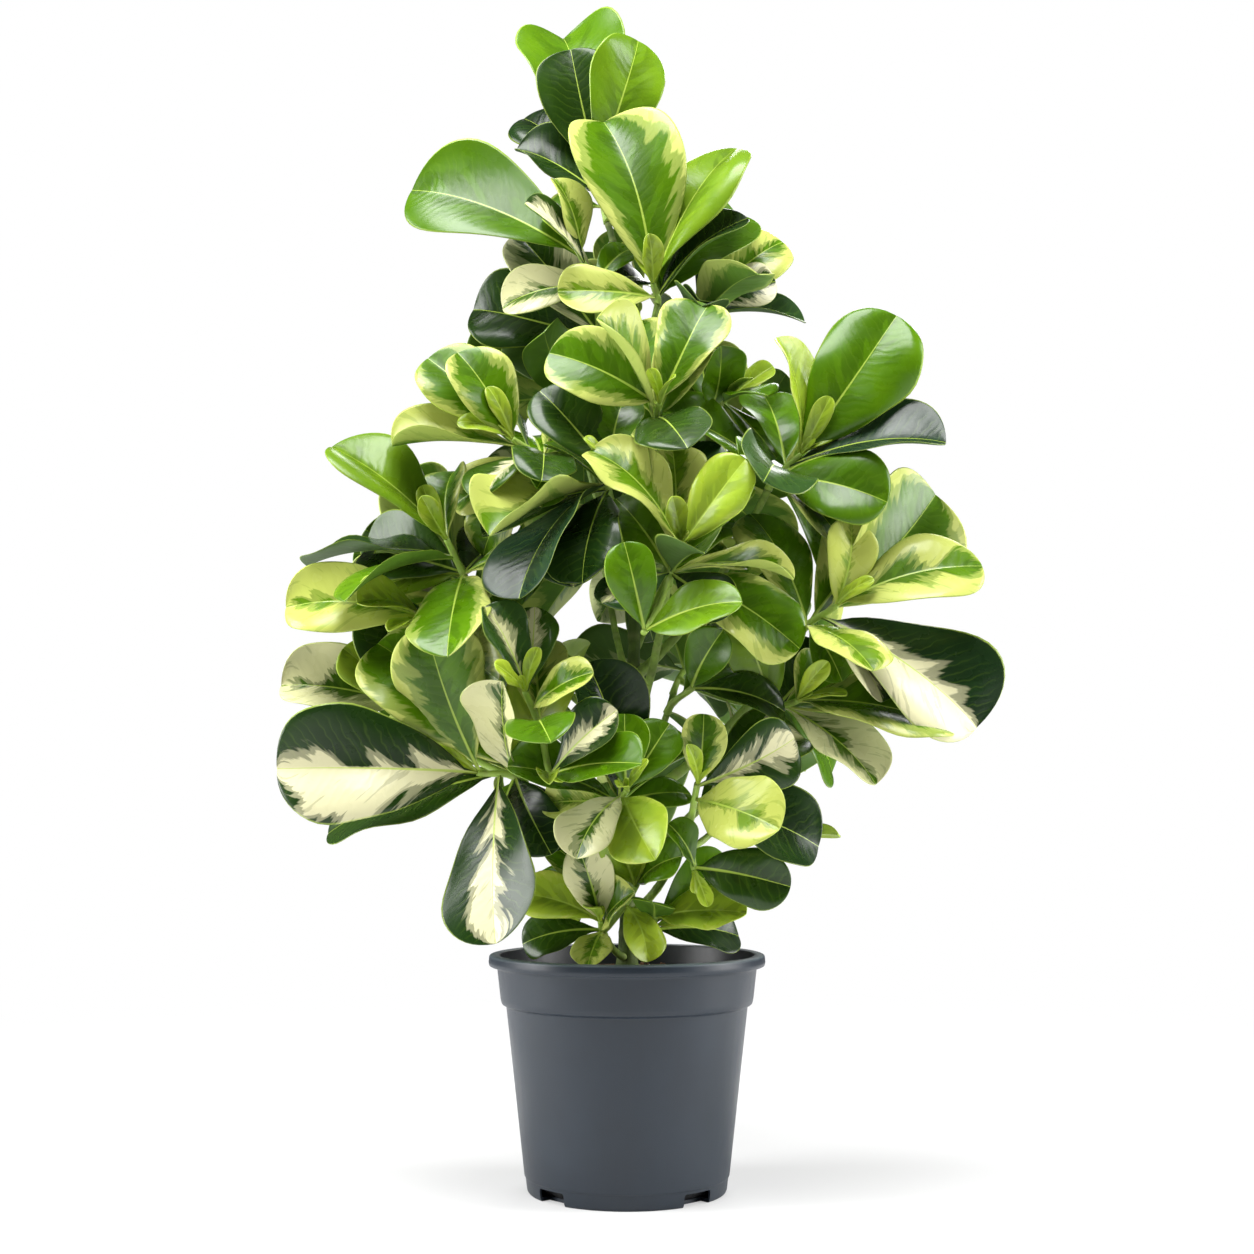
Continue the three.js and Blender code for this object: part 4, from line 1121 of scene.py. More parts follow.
def pot_inside():
    """Heights and radii of the inner wall, from the floor to the rim."""
    return [(FLOOR_THICKNESS, POT_BASE_RADIUS - POT_WALL), (BAND_BOTTOM, BAND_RADIUS - BAND_STEP - POT_WALL),
            (BAND_BOTTOM + BAND_RISE, BAND_RADIUS - POT_WALL),
            (POT_HEIGHT - RIM_EDGE, NECK_RADIUS - POT_WALL)]


# Foot notches: the radius of their corners, and how far the cutter sticks out below and outside the pot
NOTCH_CORNER = 2.5
CUTTER_BELOW = 5
CUTTER_OUTSIDE = 10


def notch_cutter(azimuth):
    """A block with a round-cornered top, pushed in through the foot of the wall."""
    half = NOTCH_WIDTH / 2
    section = rounded([(-half, -CUTTER_BELOW), (-half, NOTCH_HEIGHT), (half, NOTCH_HEIGHT),
                       (half, -CUTTER_BELOW)], NOTCH_CORNER)
    count = len(section)
    turn = np.radians(azimuth)
    rings = []
    for reach in (NOTCH_INNER_REACH, POT_BASE_RADIUS + CUTTER_OUTSIDE):
        x = section[:, 0] * np.cos(turn) + reach * np.sin(turn)
        y = section[:, 0] * np.sin(turn) - reach * np.cos(turn)
        rings.append(np.stack([x, y, section[:, 1]], -1))
    points = np.concatenate([*rings, [rings[0].mean(0), rings[1].mean(0)]])
    caps = np.concatenate([cap_faces(np.arange(count), 2 * count, True),
                           cap_faces(np.arange(count, 2 * count), 2 * count + 1, False)])
    return build_mesh("notch_cutter", points, ring_faces(2, count)[:, ::-1], caps, smooth=False)


def cut(piece, cutter):
    """Takes the cutter's solid out of the piece and removes the cutter."""
    modifier = piece.modifiers.new("cut", "BOOLEAN")
    modifier.operation, modifier.solver, modifier.object = "DIFFERENCE", "EXACT", cutter
    apply_modifiers(piece)
    bpy.data.objects.remove(cutter)


def apply_modifiers(piece):
    """Turns what the modifiers show into the piece's own mesh."""
    finished = bpy.data.meshes.new_from_object(piece.evaluated_get(bpy.context.evaluated_depsgraph_get()))
    piece.modifiers.clear()
    piece.data = finished


# Outer wall of the pot: the bevel of its underside, the shallow step above the foot, and how much each
# point of the band and the rolled rim stands in or out from the sizes of the solids
UNDER_BEVEL = 2
FOOT_LINE = 13
FOOT_STEP = 0.9
FOOT_STEP_HEIGHT = 1
BAND_UNDERCUT = 2
BAND_EDGE_IN = 0.6
BAND_EDGE_OUT = 0.4
RIM_FILLET = (1, 2)
RIM_LIP_IN = 0.8
RIM_LIP_RISE = 3
RIM_SHOULDER = 0.6
RIM_CROWN_IN = 3.5
RIM_INNER_EDGE = (1.5, 0.4)
SHARP_ANGLE = 38


def build_pot(settings):
    """Outer wall with a step under the band and a rolled rim, then the inner wall, with four foot notches."""
    inner = [(radius, height) for height, radius in reversed(pot_inside())]
    foot_radius = POT_BASE_RADIUS + (BAND_RADIUS - BAND_STEP - POT_BASE_RADIUS) * FOOT_LINE / BAND_BOTTOM
    rim_bottom = POT_HEIGHT - RIM_DEPTH
    outline = [
        (0, 0), (POT_BASE_RADIUS - UNDER_BEVEL, 0), (POT_BASE_RADIUS - FOOT_STEP, UNDER_BEVEL),
        (foot_radius - FOOT_STEP, FOOT_LINE), (foot_radius, FOOT_LINE + FOOT_STEP_HEIGHT),
        (BAND_RADIUS - BAND_STEP, BAND_BOTTOM - BAND_UNDERCUT), (BAND_RADIUS - BAND_EDGE_IN, BAND_BOTTOM),
        (BAND_RADIUS + BAND_EDGE_OUT, BAND_BOTTOM + BAND_RISE), (NECK_RADIUS, rim_bottom - RIM_FILLET[1]),
        (NECK_RADIUS + RIM_FILLET[0], rim_bottom), (RIM_RADIUS - RIM_LIP_IN, rim_bottom),
        (RIM_RADIUS, rim_bottom + RIM_LIP_RISE), (RIM_RADIUS - RIM_SHOULDER, POT_HEIGHT - RIM_EDGE),
        (RIM_RADIUS - RIM_CROWN_IN, POT_HEIGHT),
        (NECK_RADIUS - POT_WALL + RIM_INNER_EDGE[0], POT_HEIGHT - RIM_INNER_EDGE[1]),
        *inner, (0, FLOOR_THICKNESS),
    ]
    piece = spin("pot_moulded", rounded(outline, settings.corner_radius / MM), settings.turns)
    for index in range(NOTCH_COUNT):
        cut(piece, notch_cutter(NOTCH_FIRST + index * NOTCH_SPACING))
    piece.data.set_sharp_from_angle(angle=np.radians(SHARP_ANGLE))
    piece.data.materials.clear()
    piece.data.materials.append(plastic_material(settings))
    hold(piece, "pot_plastic", "pot")


# Top of the soil: its rings, the waves of its relief (size in millimetres and phase), and how far from the
# wall and from the trunk it levels out
SOIL_RINGS = 46
SOIL_TURNS = 160
SOIL_RELIEF = 2.6
SOIL_WAVES = ((14.0, 0.4), (5.3, 1.9), (2.1, 3.1))
SOIL_WALL_FADE = 6
SOIL_TRUNK_FADE = 14
SOIL_TRUNK_LEAST = 0.25

# Bits on the soil: kind, piece, count and range of sizes, then how far they keep from trunk and wall, and how
# much each is squashed, skewed, tipped, lifted and bevelled
LITTER = (("bits", "soil_bark_bits", 420, (2.2, 6.0)), ("perlite", "soil_perlite", 60, (1.2, 2.6)))
LITTER_SEED = 11
LITTER_INNER_REACH = 15
LITTER_WALL_MARGIN = 8
LITTER_SQUASH = (0.35, 1)
LITTER_SKEW = 0.22
LITTER_TIP = 0.12
LITTER_LIFT = 0.4
LITTER_BEVEL = 0.4


def soil_relief(x, y, z):
    """Uneven ground: crossed waves of three sizes, only on the top face, and flat round the trunk."""
    reach = np.hypot(x, y)
    to_wall = between(pot_inside(), SOIL_TOP) - reach
    top = (z > SOIL_TOP - 1) * np.clip(to_wall / SOIL_WALL_FADE, 0, 1)
    waves = sum(np.sin(x / size + 2 * phase) * np.cos(y / size - phase) / (1 + rank)
                for rank, (size, phase) in enumerate(SOIL_WAVES))
    return top * SOIL_RELIEF * (0.5 * waves - 0.5) * np.clip(reach / SOIL_TRUNK_FADE, SOIL_TRUNK_LEAST, 1)


def build_soil():
    """The potting soil: a body that fills the pot, inset above the foot notches, with a rough top."""
    heights = [SOIL_FOOT_CHAMFER, BAND_BOTTOM, BAND_BOTTOM + BAND_RISE, SOIL_TOP]
    side = [(between(pot_inside(), height) - GAP, height) for height in heights]
    top = [(radius, SOIL_TOP) for radius in np.linspace(side[-1][0], 0, SOIL_RINGS)[1:-1]]
    outline = [(0, FLOOR_THICKNESS + GAP), (NOTCH_INNER_REACH - GAP, FLOOR_THICKNESS + GAP), *side, *top,
               (0, SOIL_TOP)]
    piece = spin("soil_body", np.array(outline), SOIL_TURNS, soil_relief)
    piece.data.materials.append(soil_material())
    hold(piece, "potting_soil", "soil")
    for kind, name, count, size in LITTER:
        bits = scatter_bits(name, count, size, LITTER_SEED + count)
        bits.data.materials.append(litter_material(kind))
        hold(bits, "potting_soil", "soil")


def scatter_bits(name, count, size, seed):
    """Small lumps on the soil: eight-cornered blocks, each turned, squashed and skewed by seeded draws."""
    rng = np.random.default_rng(seed)
    limit = between(pot_inside(), SOIL_TOP) - LITTER_WALL_MARGIN
    reach = np.sqrt(rng.uniform(LITTER_INNER_REACH ** 2, limit ** 2, count))
    turn = rng.uniform(0, 2 * np.pi, count)
    x, y = reach * np.sin(turn), -reach * np.cos(turn)
    z = SOIL_TOP + soil_relief(x, y, np.full(count, float(SOIL_TOP)))
    corners = np.array([(i, j, k) for k in (-1, 1) for i, j in ((-1, -1), (1, -1), (1, 1), (-1, 1))], float)
    shape = corners[None] * rng.uniform(*LITTER_SQUASH, (count, 1, 3))
    shape += rng.uniform(-LITTER_SKEW, LITTER_SKEW, (count, 8, 3))
    shape *= rng.uniform(*size, (count, 1, 1)) / 2
    spin_angle, tip_angle = rng.uniform(0, 2 * np.pi, (2, count))
    tip_angle = (tip_angle - np.pi) * LITTER_TIP
    cos, sin = np.cos(spin_angle)[:, None], np.sin(spin_angle)[:, None]
    tipped = shape[..., 2] * np.cos(tip_angle)[:, None] + shape[..., 0] * np.sin(tip_angle)[:, None]
    turned_x = shape[..., 0] * cos - shape[..., 1] * sin
    turned_y = shape[..., 0] * sin + shape[..., 1] * cos
    points = np.stack([turned_x + x[:, None], turned_y + y[:, None], tipped + z[:, None] + LITTER_LIFT], -1)
    points = points.reshape(-1, 3)
    block = np.array([(3, 2, 1, 0), (4, 5, 6, 7), (0, 1, 5, 4), (1, 2, 6, 5), (2, 3, 7, 6), (3, 0, 4, 7)])
    quads = (block[None] + (np.arange(count) * 8)[:, None, None]).reshape(-1, 4)
    piece = build_mesh(name, points, quads, NO_TRIANGLES, smooth=False)
    modifier = piece.modifiers.new("worn corners", "BEVEL")
    modifier.width, modifier.segments = LITTER_BEVEL * MM, 1
    apply_modifiers(piece)
    return piece


def colour(red, green, blue):
    """A colour from the 0 to 255 values of a screen to the linear ones of a shader."""
    screen = np.array((red, green, blue)) / 255
    linear = np.where(screen <= 0.04045, screen / 12.92, ((screen + 0.055) / 1.055) ** 2.4)
    return (*linear.tolist(), 1.0)


class Kit:
    """Adds shader nodes to a tree. An input takes a number, a colour or another node's output."""

    def __init__(self, tree):
        self.tree = tree

    def feed(self, node, inputs):
        """Gives each named input of a node its number, colour or link."""
        for key, value in dict(inputs).items():
            if isinstance(value, bpy.types.NodeSocket):
                self.tree.links.new(value, node.inputs[key])
            else:
                node.inputs[key].default_value = value
        return node

    def node(self, kind, inputs=(), **settings):
        made = self.tree.nodes.new(kind)
        for name, value in settings.items():
            setattr(made, name, value)
        return self.feed(made, inputs)

    def math(self, operation, first, second=0.0):
        return self.node("ShaderNodeMath", {0: first, 1: second}, operation=operation).outputs[0]

    def times(self, first, second):
        return self.math("MULTIPLY", first, second)

    def plus(self, first, second):
        return self.math("ADD", first, second)

    def minus(self, first, second):
        return self.math("SUBTRACT", first, second)

    def mix(self, factor, first, second, blend="MIX"):
        return self.node("ShaderNodeMix", {0: factor, 6: first, 7: second}, data_type="RGBA",
                         blend_type=blend).outputs[2]

    def rise(self, value, low, high, start=0.0, end=1.0):
        """A smooth change from start to end as the value goes from low to high."""
        return self.node("ShaderNodeMapRange", {0: value, 1: low, 2: high, 3: start, 4: end},
                         interpolation_type="SMOOTHSTEP").outputs[0]

    def noise(self, vector, scale=1.0, detail=2.0, roughness=0.5):
        return self.node("ShaderNodeTexNoise", {"Vector": vector, "Scale": scale, "Detail": detail,
                                                "Roughness": roughness}).outputs[0]

    def combine(self, x=0.0, y=0.0, z=0.0):
        return self.node("ShaderNodeCombineXYZ", {0: x, 1: y, 2: z}).outputs[0]

    def separate(self, vector):
        return self.node("ShaderNodeSeparateXYZ", {0: vector}).outputs

    def attribute(self, name):
        return self.node("ShaderNodeAttribute", attribute_name=name).outputs["Vector"]

    def object_place(self):
        return self.node("ShaderNodeTexCoord").outputs["Object"]

    def distance(self, vector):
        return self.node("ShaderNodeVectorMath", {0: vector}, operation="LENGTH").outputs["Value"]

    def stretched(self, vector, scale):
        return self.node("ShaderNodeMapping", {"Vector": vector, "Scale": scale}).outputs[0]

    def bump(self, height, strength, distance):
        return self.node("ShaderNodeBump", {"Height": height, "Strength": strength,
                                            "Distance": distance}).outputs[0]

    def group(self, tree, inputs):
        return self.feed(self.node("ShaderNodeGroup", node_tree=tree), inputs).outputs

    def uneven(self, place, patch_scale, grain_scale):
        return self.group(uneven_group(), {"Place": place, "Patch Scale": patch_scale,
                                           "Grain Scale": grain_scale})


def new_material(name):
    material = bpy.data.materials.new(name)
    material.use_nodes = True
    material.node_tree.nodes.clear()
    kit = Kit(material.node_tree)
    shader = kit.node("ShaderNodeBsdfPrincipled")
    kit.node("ShaderNodeOutputMaterial", {"Surface": shader.outputs[0]})
    return material, kit, shader


def new_group(name, inputs, outputs, fill):
    """A shared effect: a node group with named sockets, whose nodes the fill function makes."""
    if name in bpy.data.node_groups:
        return bpy.data.node_groups[name]
    tree = bpy.data.node_groups.new(name, "ShaderNodeTree")
    for socket, kind in inputs:
        tree.interface.new_socket(name=socket, in_out="INPUT", socket_type=kind)
    for socket, kind in outputs:
        tree.interface.new_socket(name=socket, in_out="OUTPUT", socket_type=kind)
    kit = Kit(tree)
    given = tree.nodes.new("NodeGroupInput").outputs
    result = tree.nodes.new("NodeGroupOutput").inputs
    for name_out, socket in fill(kit, given).items():
        tree.links.new(socket, result[name_out])
    return tree


FLOAT, VECTOR = "NodeSocketFloat", "NodeSocketVector"

# The part of each noise that is spread from 0 to 1
PATCH_RANGE = (0.32, 0.68)
GRAIN_RANGE = (0.3, 0.7)


def uneven_group():
    """Surface unevenness: broad patches and fine grain, both from 0 to 1."""
    def fill(kit, given):
        patches = kit.noise(given["Place"], given["Patch Scale"], 3.0, 0.55)
        grain = kit.noise(given["Place"], given["Grain Scale"], 2.0, 0.6)
        return {"Patches": kit.rise(patches, *PATCH_RANGE), "Grain": kit.rise(grain, *GRAIN_RANGE)}
    return new_group("uneven surface", [("Place", VECTOR), ("Patch Scale", FLOAT), ("Grain Scale", FLOAT)],
                     [("Patches", FLOAT), ("Grain", FLOAT)], fill)


# Borders of the pale parts. Each kind of raggedness has its rate along the vein lines, its rate across the
# blade, how far the leaf's seed shifts it and its detail; a swing is how much of it moves the border.
VEIN_DRIFT = 0.3
BORDER_SWAY = (2.6, 4.3, 11.0)
LOBES = (8.0, 1.1, 7.3, 1.0)
TEETH = (34.0, 2.4, 3.1, 2.0)
BLOTCHES = (20.0, 1.6, 5.7, 2.0)
SWAY_SWING = 1.5
LOBE_SWING = 1.7
TOOTH_SWING = 0.75
BLOTCH_SWING = 0.45
BORDER_SOFTNESS = 0.03
HALF_PALE_RANGE = (-0.24, -0.14)
HEART_SHARES = (0.05, 0.5)
HEART_FOOT = 0.35
LEAST_HEART = (0.01, 0.05)


def leaf_pattern_group():
    """Where a leaf is pale: ragged borders that follow the side veins, at its edge or round its midrib."""
    def fill(kit, given):
        across, share, _ = kit.separate(given["Place"])
        edge, heart, ragged = kit.separate(given["Pattern"])
        seed = kit.separate(given["Spot"])[2]
        out = kit.math("ABSOLUTE", across)
        half = kit.math("SIGN", across)
        vein_line = kit.minus(share, kit.times(out, VEIN_DRIFT))

        def streaks(rate, spread, turn, detail):
            vector = kit.combine(kit.times(vein_line, rate), kit.times(across, spread), kit.times(seed, turn))
            return kit.minus(kit.noise(vector, 1.0, detail, 0.55), 0.5)

        place_rates = zip((share, half, seed), BORDER_SWAY)
        swaying = kit.combine(*[kit.times(value, rate) for value, rate in place_rates])
        sway = kit.minus(kit.noise(swaying, 1.0, 1.0, 0.5), 0.5)
        lobes, teeth, blotches = streaks(*LOBES), streaks(*TEETH), streaks(*BLOTCHES)
        swing = kit.plus(kit.times(sway, SWAY_SWING), kit.times(lobes, LOBE_SWING))
        swing = kit.plus(swing, kit.times(teeth, TOOTH_SWING))
        border = kit.plus(out, kit.times(swing, ragged))
        from_edge = kit.minus(border, edge)
        inner = kit.minus(kit.times(heart, kit.rise(share, *HEART_SHARES, HEART_FOOT, 1.0)), border)
        has_heart = kit.rise(heart, *LEAST_HEART)
        shade = kit.times(blotches, BLOTCH_SWING)

        def pale(at_edge, at_heart, low, high):
            at_heart = kit.times(kit.rise(at_heart, low, high), has_heart)
            return kit.math("MAXIMUM", kit.rise(at_edge, low, high), at_heart)

        return {"Pale": pale(from_edge, inner, -BORDER_SOFTNESS, BORDER_SOFTNESS),
                "Half Pale": pale(kit.plus(from_edge, shade), kit.plus(inner, shade), *HALF_PALE_RANGE),
                "Blotches": kit.plus(blotches, 0.5), "Lobes": kit.plus(lobes, 0.5)}
    return new_group("leaf colouring", [("Place", VECTOR), ("Spot", VECTOR), ("Pattern", VECTOR)],
                     [("Pale", FLOAT), ("Half Pale", FLOAT), ("Blotches", FLOAT), ("Lobes", FLOAT)], fill)


# Leaf finish, lengths in millimetres: the side veins, the clouds and darker parts of the green, the midrib
# (half its width at the root and at the tip), the edge line, the lower side, the gloss and the relief. For
# each finish, UNEVEN has the scales of its patches and grain, and BUMP its strength and depth in metres.
LEAF_UNEVEN = (40.0, 900.0)
LEAF_BUMP = (0.4, 0.0004)
VEIN_SLOPE = 0.6
VEIN_SPACING = 8.5
VEIN_WANDER = (0.09, 0.06)
VEIN_WANDER_TURN = 9.0
VEIN_INSET = (0.95, 0.55)
VEIN_CREST = (0.72, 1.0)
VEIN_STRENGTH = 0.1
CLOUD_RATES = (0.03, 0.04)
CLOUD_RANGE = (0.35, 0.7)
CLOUD_STRENGTH = 0.5
CLOUD_TINT = (1.5, 1.3, 1.0, 1)
DEEP_RANGE = (0.46, 0.52)
DEEP_FADE = (0.85, 0.2)
DEEP_STRENGTH = 0.55
DEEP_TINT = (0.46, 0.5, 0.4, 1)
HALF_PALE_SHARE = 0.42
FLECK_RANGE = (0.6, 0.64)
FLECK_STRENGTH = 0.45
MIDRIB_HALF_WIDTHS = (1.8, 0.35)
MIDRIB_EDGE = (0.4, 1.0)
MIDRIB_STRENGTH = 0.8
EDGE_LINE = (0.96, 0.99)
EDGE_LINE_START = (0.12, 0.2)
EDGE_LINE_STRENGTH = 0.5
UNDER_STRENGTH = 0.35
PATCH_DULLNESS = 0.1
UNDER_DULLNESS = 0.25
QUILT_RELIEF = 0.5
VEIN_RELIEF = 0.1
GRAIN_RELIEF = 0.01


@lru_cache(maxsize=None)
def leaf_material():
    """Thick waxy leaf: dark green to lime, ragged pale parts, pale midrib and edge, and faint side veins."""
    material, kit, shader = new_material("clusia leaf")
    settings = bpy.context.scene.clusia_leaves
    place_vector = kit.attribute("leaf_place")
    spot_vector = kit.attribute("leaf_spot")
    across, share, top = kit.separate(place_vector)
    along, from_rib, seed = kit.separate(spot_vector)
    tone, blue, white = kit.separate(kit.attribute("leaf_tone"))
    pattern = kit.group(leaf_pattern_group(), {"Place": place_vector, "Spot": spot_vector,
                                               "Pattern": kit.attribute("leaf_pattern")})
    out = kit.math("ABSOLUTE", across)
    rib_distance = kit.math("ABSOLUTE", from_rib)
    vein_line = kit.minus(along, kit.times(rib_distance, VEIN_SLOPE))

    def rates(values):
        return kit.combine(kit.times(along, values[0]), kit.times(from_rib, values[1]), seed)

    wander = kit.noise(rates(VEIN_WANDER), 1.0, 1.0, 0.5)
    vein_wave = kit.math("SINE", kit.plus(kit.times(vein_line, 2 * np.pi / VEIN_SPACING),
                                          kit.times(wander, VEIN_WANDER_TURN)))
    inset = kit.rise(out, *VEIN_INSET)
    veins = kit.times(kit.rise(vein_wave, *VEIN_CREST), inset)

    dark_green = kit.mix(blue, settings.dark_green, settings.blue_green)
    low = kit.mix(kit.rise(tone, 0.0, 0.5), dark_green, settings.mid_green)
    green = kit.mix(kit.rise(tone, 0.5, 1.0), low, settings.lime)
    clouds = kit.noise(rates(CLOUD_RATES), 1.0, 3.0, 0.6)
    green = kit.mix(kit.rise(clouds, *CLOUD_RANGE, 0.0, CLOUD_STRENGTH), green, CLOUD_TINT, "MULTIPLY")
    deep = kit.times(kit.rise(pattern["Lobes"], *DEEP_RANGE), kit.rise(out, *DEEP_FADE))
    green = kit.mix(kit.times(deep, DEEP_STRENGTH), green, DEEP_TINT, "MULTIPLY")
    green = kit.mix(kit.times(veins, VEIN_STRENGTH), green, settings.vein_green)

    pale = kit.mix(white, settings.yellow_pale, settings.white_pale)
    half = kit.mix(HALF_PALE_SHARE, green, pale)
    patched = kit.mix(pattern["Half Pale"], green, half)
    fleck = kit.times(kit.rise(pattern["Blotches"], *FLECK_RANGE), FLECK_STRENGTH)
    blade = kit.mix(pattern["Pale"], patched, kit.mix(fleck, pale, half))

    rib_half = kit.rise(share, 0.0, 1.0, *MIDRIB_HALF_WIDTHS)
    rib = kit.minus(1.0, kit.rise(kit.math("DIVIDE", rib_distance, rib_half), *MIDRIB_EDGE))
    blade = kit.mix(kit.times(rib, MIDRIB_STRENGTH), blade, settings.rib_green)
    rim = kit.times(kit.rise(out, *EDGE_LINE), kit.rise(share, *EDGE_LINE_START))
    blade = kit.mix(kit.times(rim, EDGE_LINE_STRENGTH), blade, settings.rib_green)
    under = kit.minus(1.0, top)
    blade = kit.mix(kit.times(under, UNDER_STRENGTH), blade, settings.under_green)

    uneven = kit.uneven(kit.object_place(), *LEAF_UNEVEN)
    dullness = kit.plus(kit.times(uneven["Patches"], PATCH_DULLNESS), kit.times(under, UNDER_DULLNESS))
    quilt = kit.times(kit.times(vein_wave, -0.5), inset)
    relief = kit.plus(kit.times(quilt, QUILT_RELIEF), kit.times(veins, VEIN_RELIEF))
    relief = kit.plus(relief, kit.times(uneven["Grain"], GRAIN_RELIEF))
    kit.feed(shader, {
        "Base Color": blade, "Roughness": kit.plus(dullness, settings.roughness),
        "Specular IOR Level": 0.3, "Coat Weight": 0.04, "Coat Roughness": 0.12,
        "Normal": kit.bump(relief, *LEAF_BUMP),
    })
    return material


# Stem finish: cracks drawn out along the stem, patches of older skin and pale scars
STEM_UNEVEN = (55.0, 600.0)
STEM_BUMP = (0.6, 0.0008)
CRACK_SCALE = (420.0, 420.0, 60.0)
CRACK_RANGE = (0.5, 0.7)
CRACK_STRENGTH = 0.6
AGE_PATCHES = 0.35
AGE_RANGE = (0.15, 0.85)
SCAR_STRENGTH = 0.4
STEM_ROUGHNESS = (0.42, 0.75)
STEM_GRAIN = 0.3


@lru_cache(maxsize=None)
def bark_material():
    """Stem skin: yellow-green where young, olive and cracked where old, with pale ringed scars."""
    material, kit, shader = new_material("clusia stem")
    settings = bpy.context.scene.clusia_stems
    scar, _, age = kit.separate(kit.attribute("bark_place"))
    position = kit.object_place()
    uneven = kit.uneven(position, *STEM_UNEVEN)
    cracks = kit.noise(kit.stretched(position, CRACK_SCALE), 1.0, 3.0, 0.65)
    patchy_age = kit.plus(age, kit.times(kit.minus(uneven["Patches"], 0.5), AGE_PATCHES))
    skin = kit.mix(kit.rise(patchy_age, *AGE_RANGE), settings.young, settings.old)
    cracked = kit.times(kit.rise(cracks, *CRACK_RANGE), kit.times(age, CRACK_STRENGTH))
    skin = kit.mix(cracked, skin, settings.crack)
    skin = kit.mix(kit.times(scar, SCAR_STRENGTH), skin, settings.scar)
    relief = kit.plus(kit.times(cracks, age), kit.times(uneven["Grain"], STEM_GRAIN))
    kit.feed(shader, {
        "Base Color": skin, "Roughness": kit.rise(patchy_age, 0.0, 1.0, *STEM_ROUGHNESS),
        "Normal": kit.bump(relief, *STEM_BUMP),
    })
    return material


# The inner wall above the soil, darkened by painted shade: the crown's shadow painted into the plastic's
# colour
INNER_SHADE_RADII = ((NECK_RADIUS - POT_WALL / 2) * MM, (NECK_RADIUS - POT_WALL + 0.5) * MM)
INNER_SHADE_HEIGHTS = ((SOIL_TOP - 8) * MM, (SOIL_TOP - 4) * MM)

# The top of the rolled rim, made paler by painted light: the light from above painted into the plastic's
# colour
RIM_LIGHT_RADII = ((NECK_RADIUS - POT_WALL) * MM, (NECK_RADIUS + 1) * MM)
RIM_LIGHT_HEIGHTS = ((POT_HEIGHT - 3) * MM, (POT_HEIGHT - 0.6) * MM)

# How much each mark shows on the plastic, and how much it dulls it
PLASTIC_UNEVEN = (16.0, 1400.0)
PLASTIC_BUMP = (0.12, 0.0003)
STREAK_SCALE = (260.0, 260.0, 5.0)
STREAK_RANGE = (0.35, 0.75)
RUBBED_STRENGTH = 0.5
STREAK_STRENGTH = 0.12
INNER_SHADE_STRENGTH = 0.65
RIM_LIGHT_STRENGTH = 0.8
RUBBED_DULLNESS = 0.07
STREAK_DULLNESS = 0.04


def plastic_material(settings):
    """Moulded pot plastic: even slate grey with a soft sheen, fine grain and faint rubbed patches, with
    painted shade on the inner wall and painted light on the rim's top.
    """
    material, kit, shader = new_material("pot plastic")
    position = kit.object_place()
    uneven = kit.uneven(position, *PLASTIC_UNEVEN)
    streaks = kit.rise(kit.noise(kit.stretched(position, STREAK_SCALE), 1.0, 2.0, 0.5), *STREAK_RANGE)
    body = kit.mix(kit.times(uneven["Patches"], RUBBED_STRENGTH), settings.colour, settings.rubbed)
    body = kit.mix(kit.times(streaks, STREAK_STRENGTH), body, settings.rubbed)
    across, back, height = kit.separate(position)
    reach = kit.distance(kit.combine(across, back, 0.0))
    # Painted shade: the inner wall above the soil takes a dark colour that stands for the crown's shadow
    inside = kit.times(kit.rise(reach, *INNER_SHADE_RADII), kit.rise(height, *INNER_SHADE_HEIGHTS))
    body = kit.mix(kit.times(inside, INNER_SHADE_STRENGTH), body, settings.inner_shade)
    # Painted light: the top of the rim takes a paler colour that stands for the light falling on it
    worn = kit.times(kit.rise(reach, *RIM_LIGHT_RADII), kit.rise(height, *RIM_LIGHT_HEIGHTS))
    body = kit.mix(kit.times(worn, RIM_LIGHT_STRENGTH), body, settings.worn)
    dullness = kit.plus(kit.times(uneven["Patches"], RUBBED_DULLNESS), kit.times(streaks, STREAK_DULLNESS))
    kit.feed(shader, {
        "Base Color": body, "Roughness": kit.plus(dullness, settings.roughness),
        "Specular IOR Level": 0.42, "Normal": kit.bump(uneven["Grain"], *PLASTIC_BUMP),
    })
    return material


# The soil's foot, which shows only through the notches, darkened with painted shade
SHADED_HEIGHTS = ((SOIL_FOOT_CHAMFER + 2) * MM, (SOIL_FOOT_CHAMFER - 1) * MM)

# Soil and the bits on it
SOIL_UNEVEN = (130.0, 700.0)
SOIL_BUMP = (0.9, 0.0015)
SOIL_GRAIN = 0.5
LITTER_UNEVEN = (160.0, 1100.0)
LITTER_BUMP = (0.5, 0.0006)
SOIL_DARK = (38, 27, 20)
SOIL_BROWN = (84, 62, 44)
SOIL_SPECK = (150, 138, 118)
SOIL_SHADED = (15, 18, 21)
SPECK_RANGE = (0.93, 0.99)
SOIL_ROUGHNESS = (0.8, 0.95)
LITTER_ROUGHNESS = (0.75, 0.95)
LITTER_COLOURS = {"bits": ((52, 36, 24), (112, 80, 52)), "perlite": ((196, 192, 182), (236, 234, 228))}


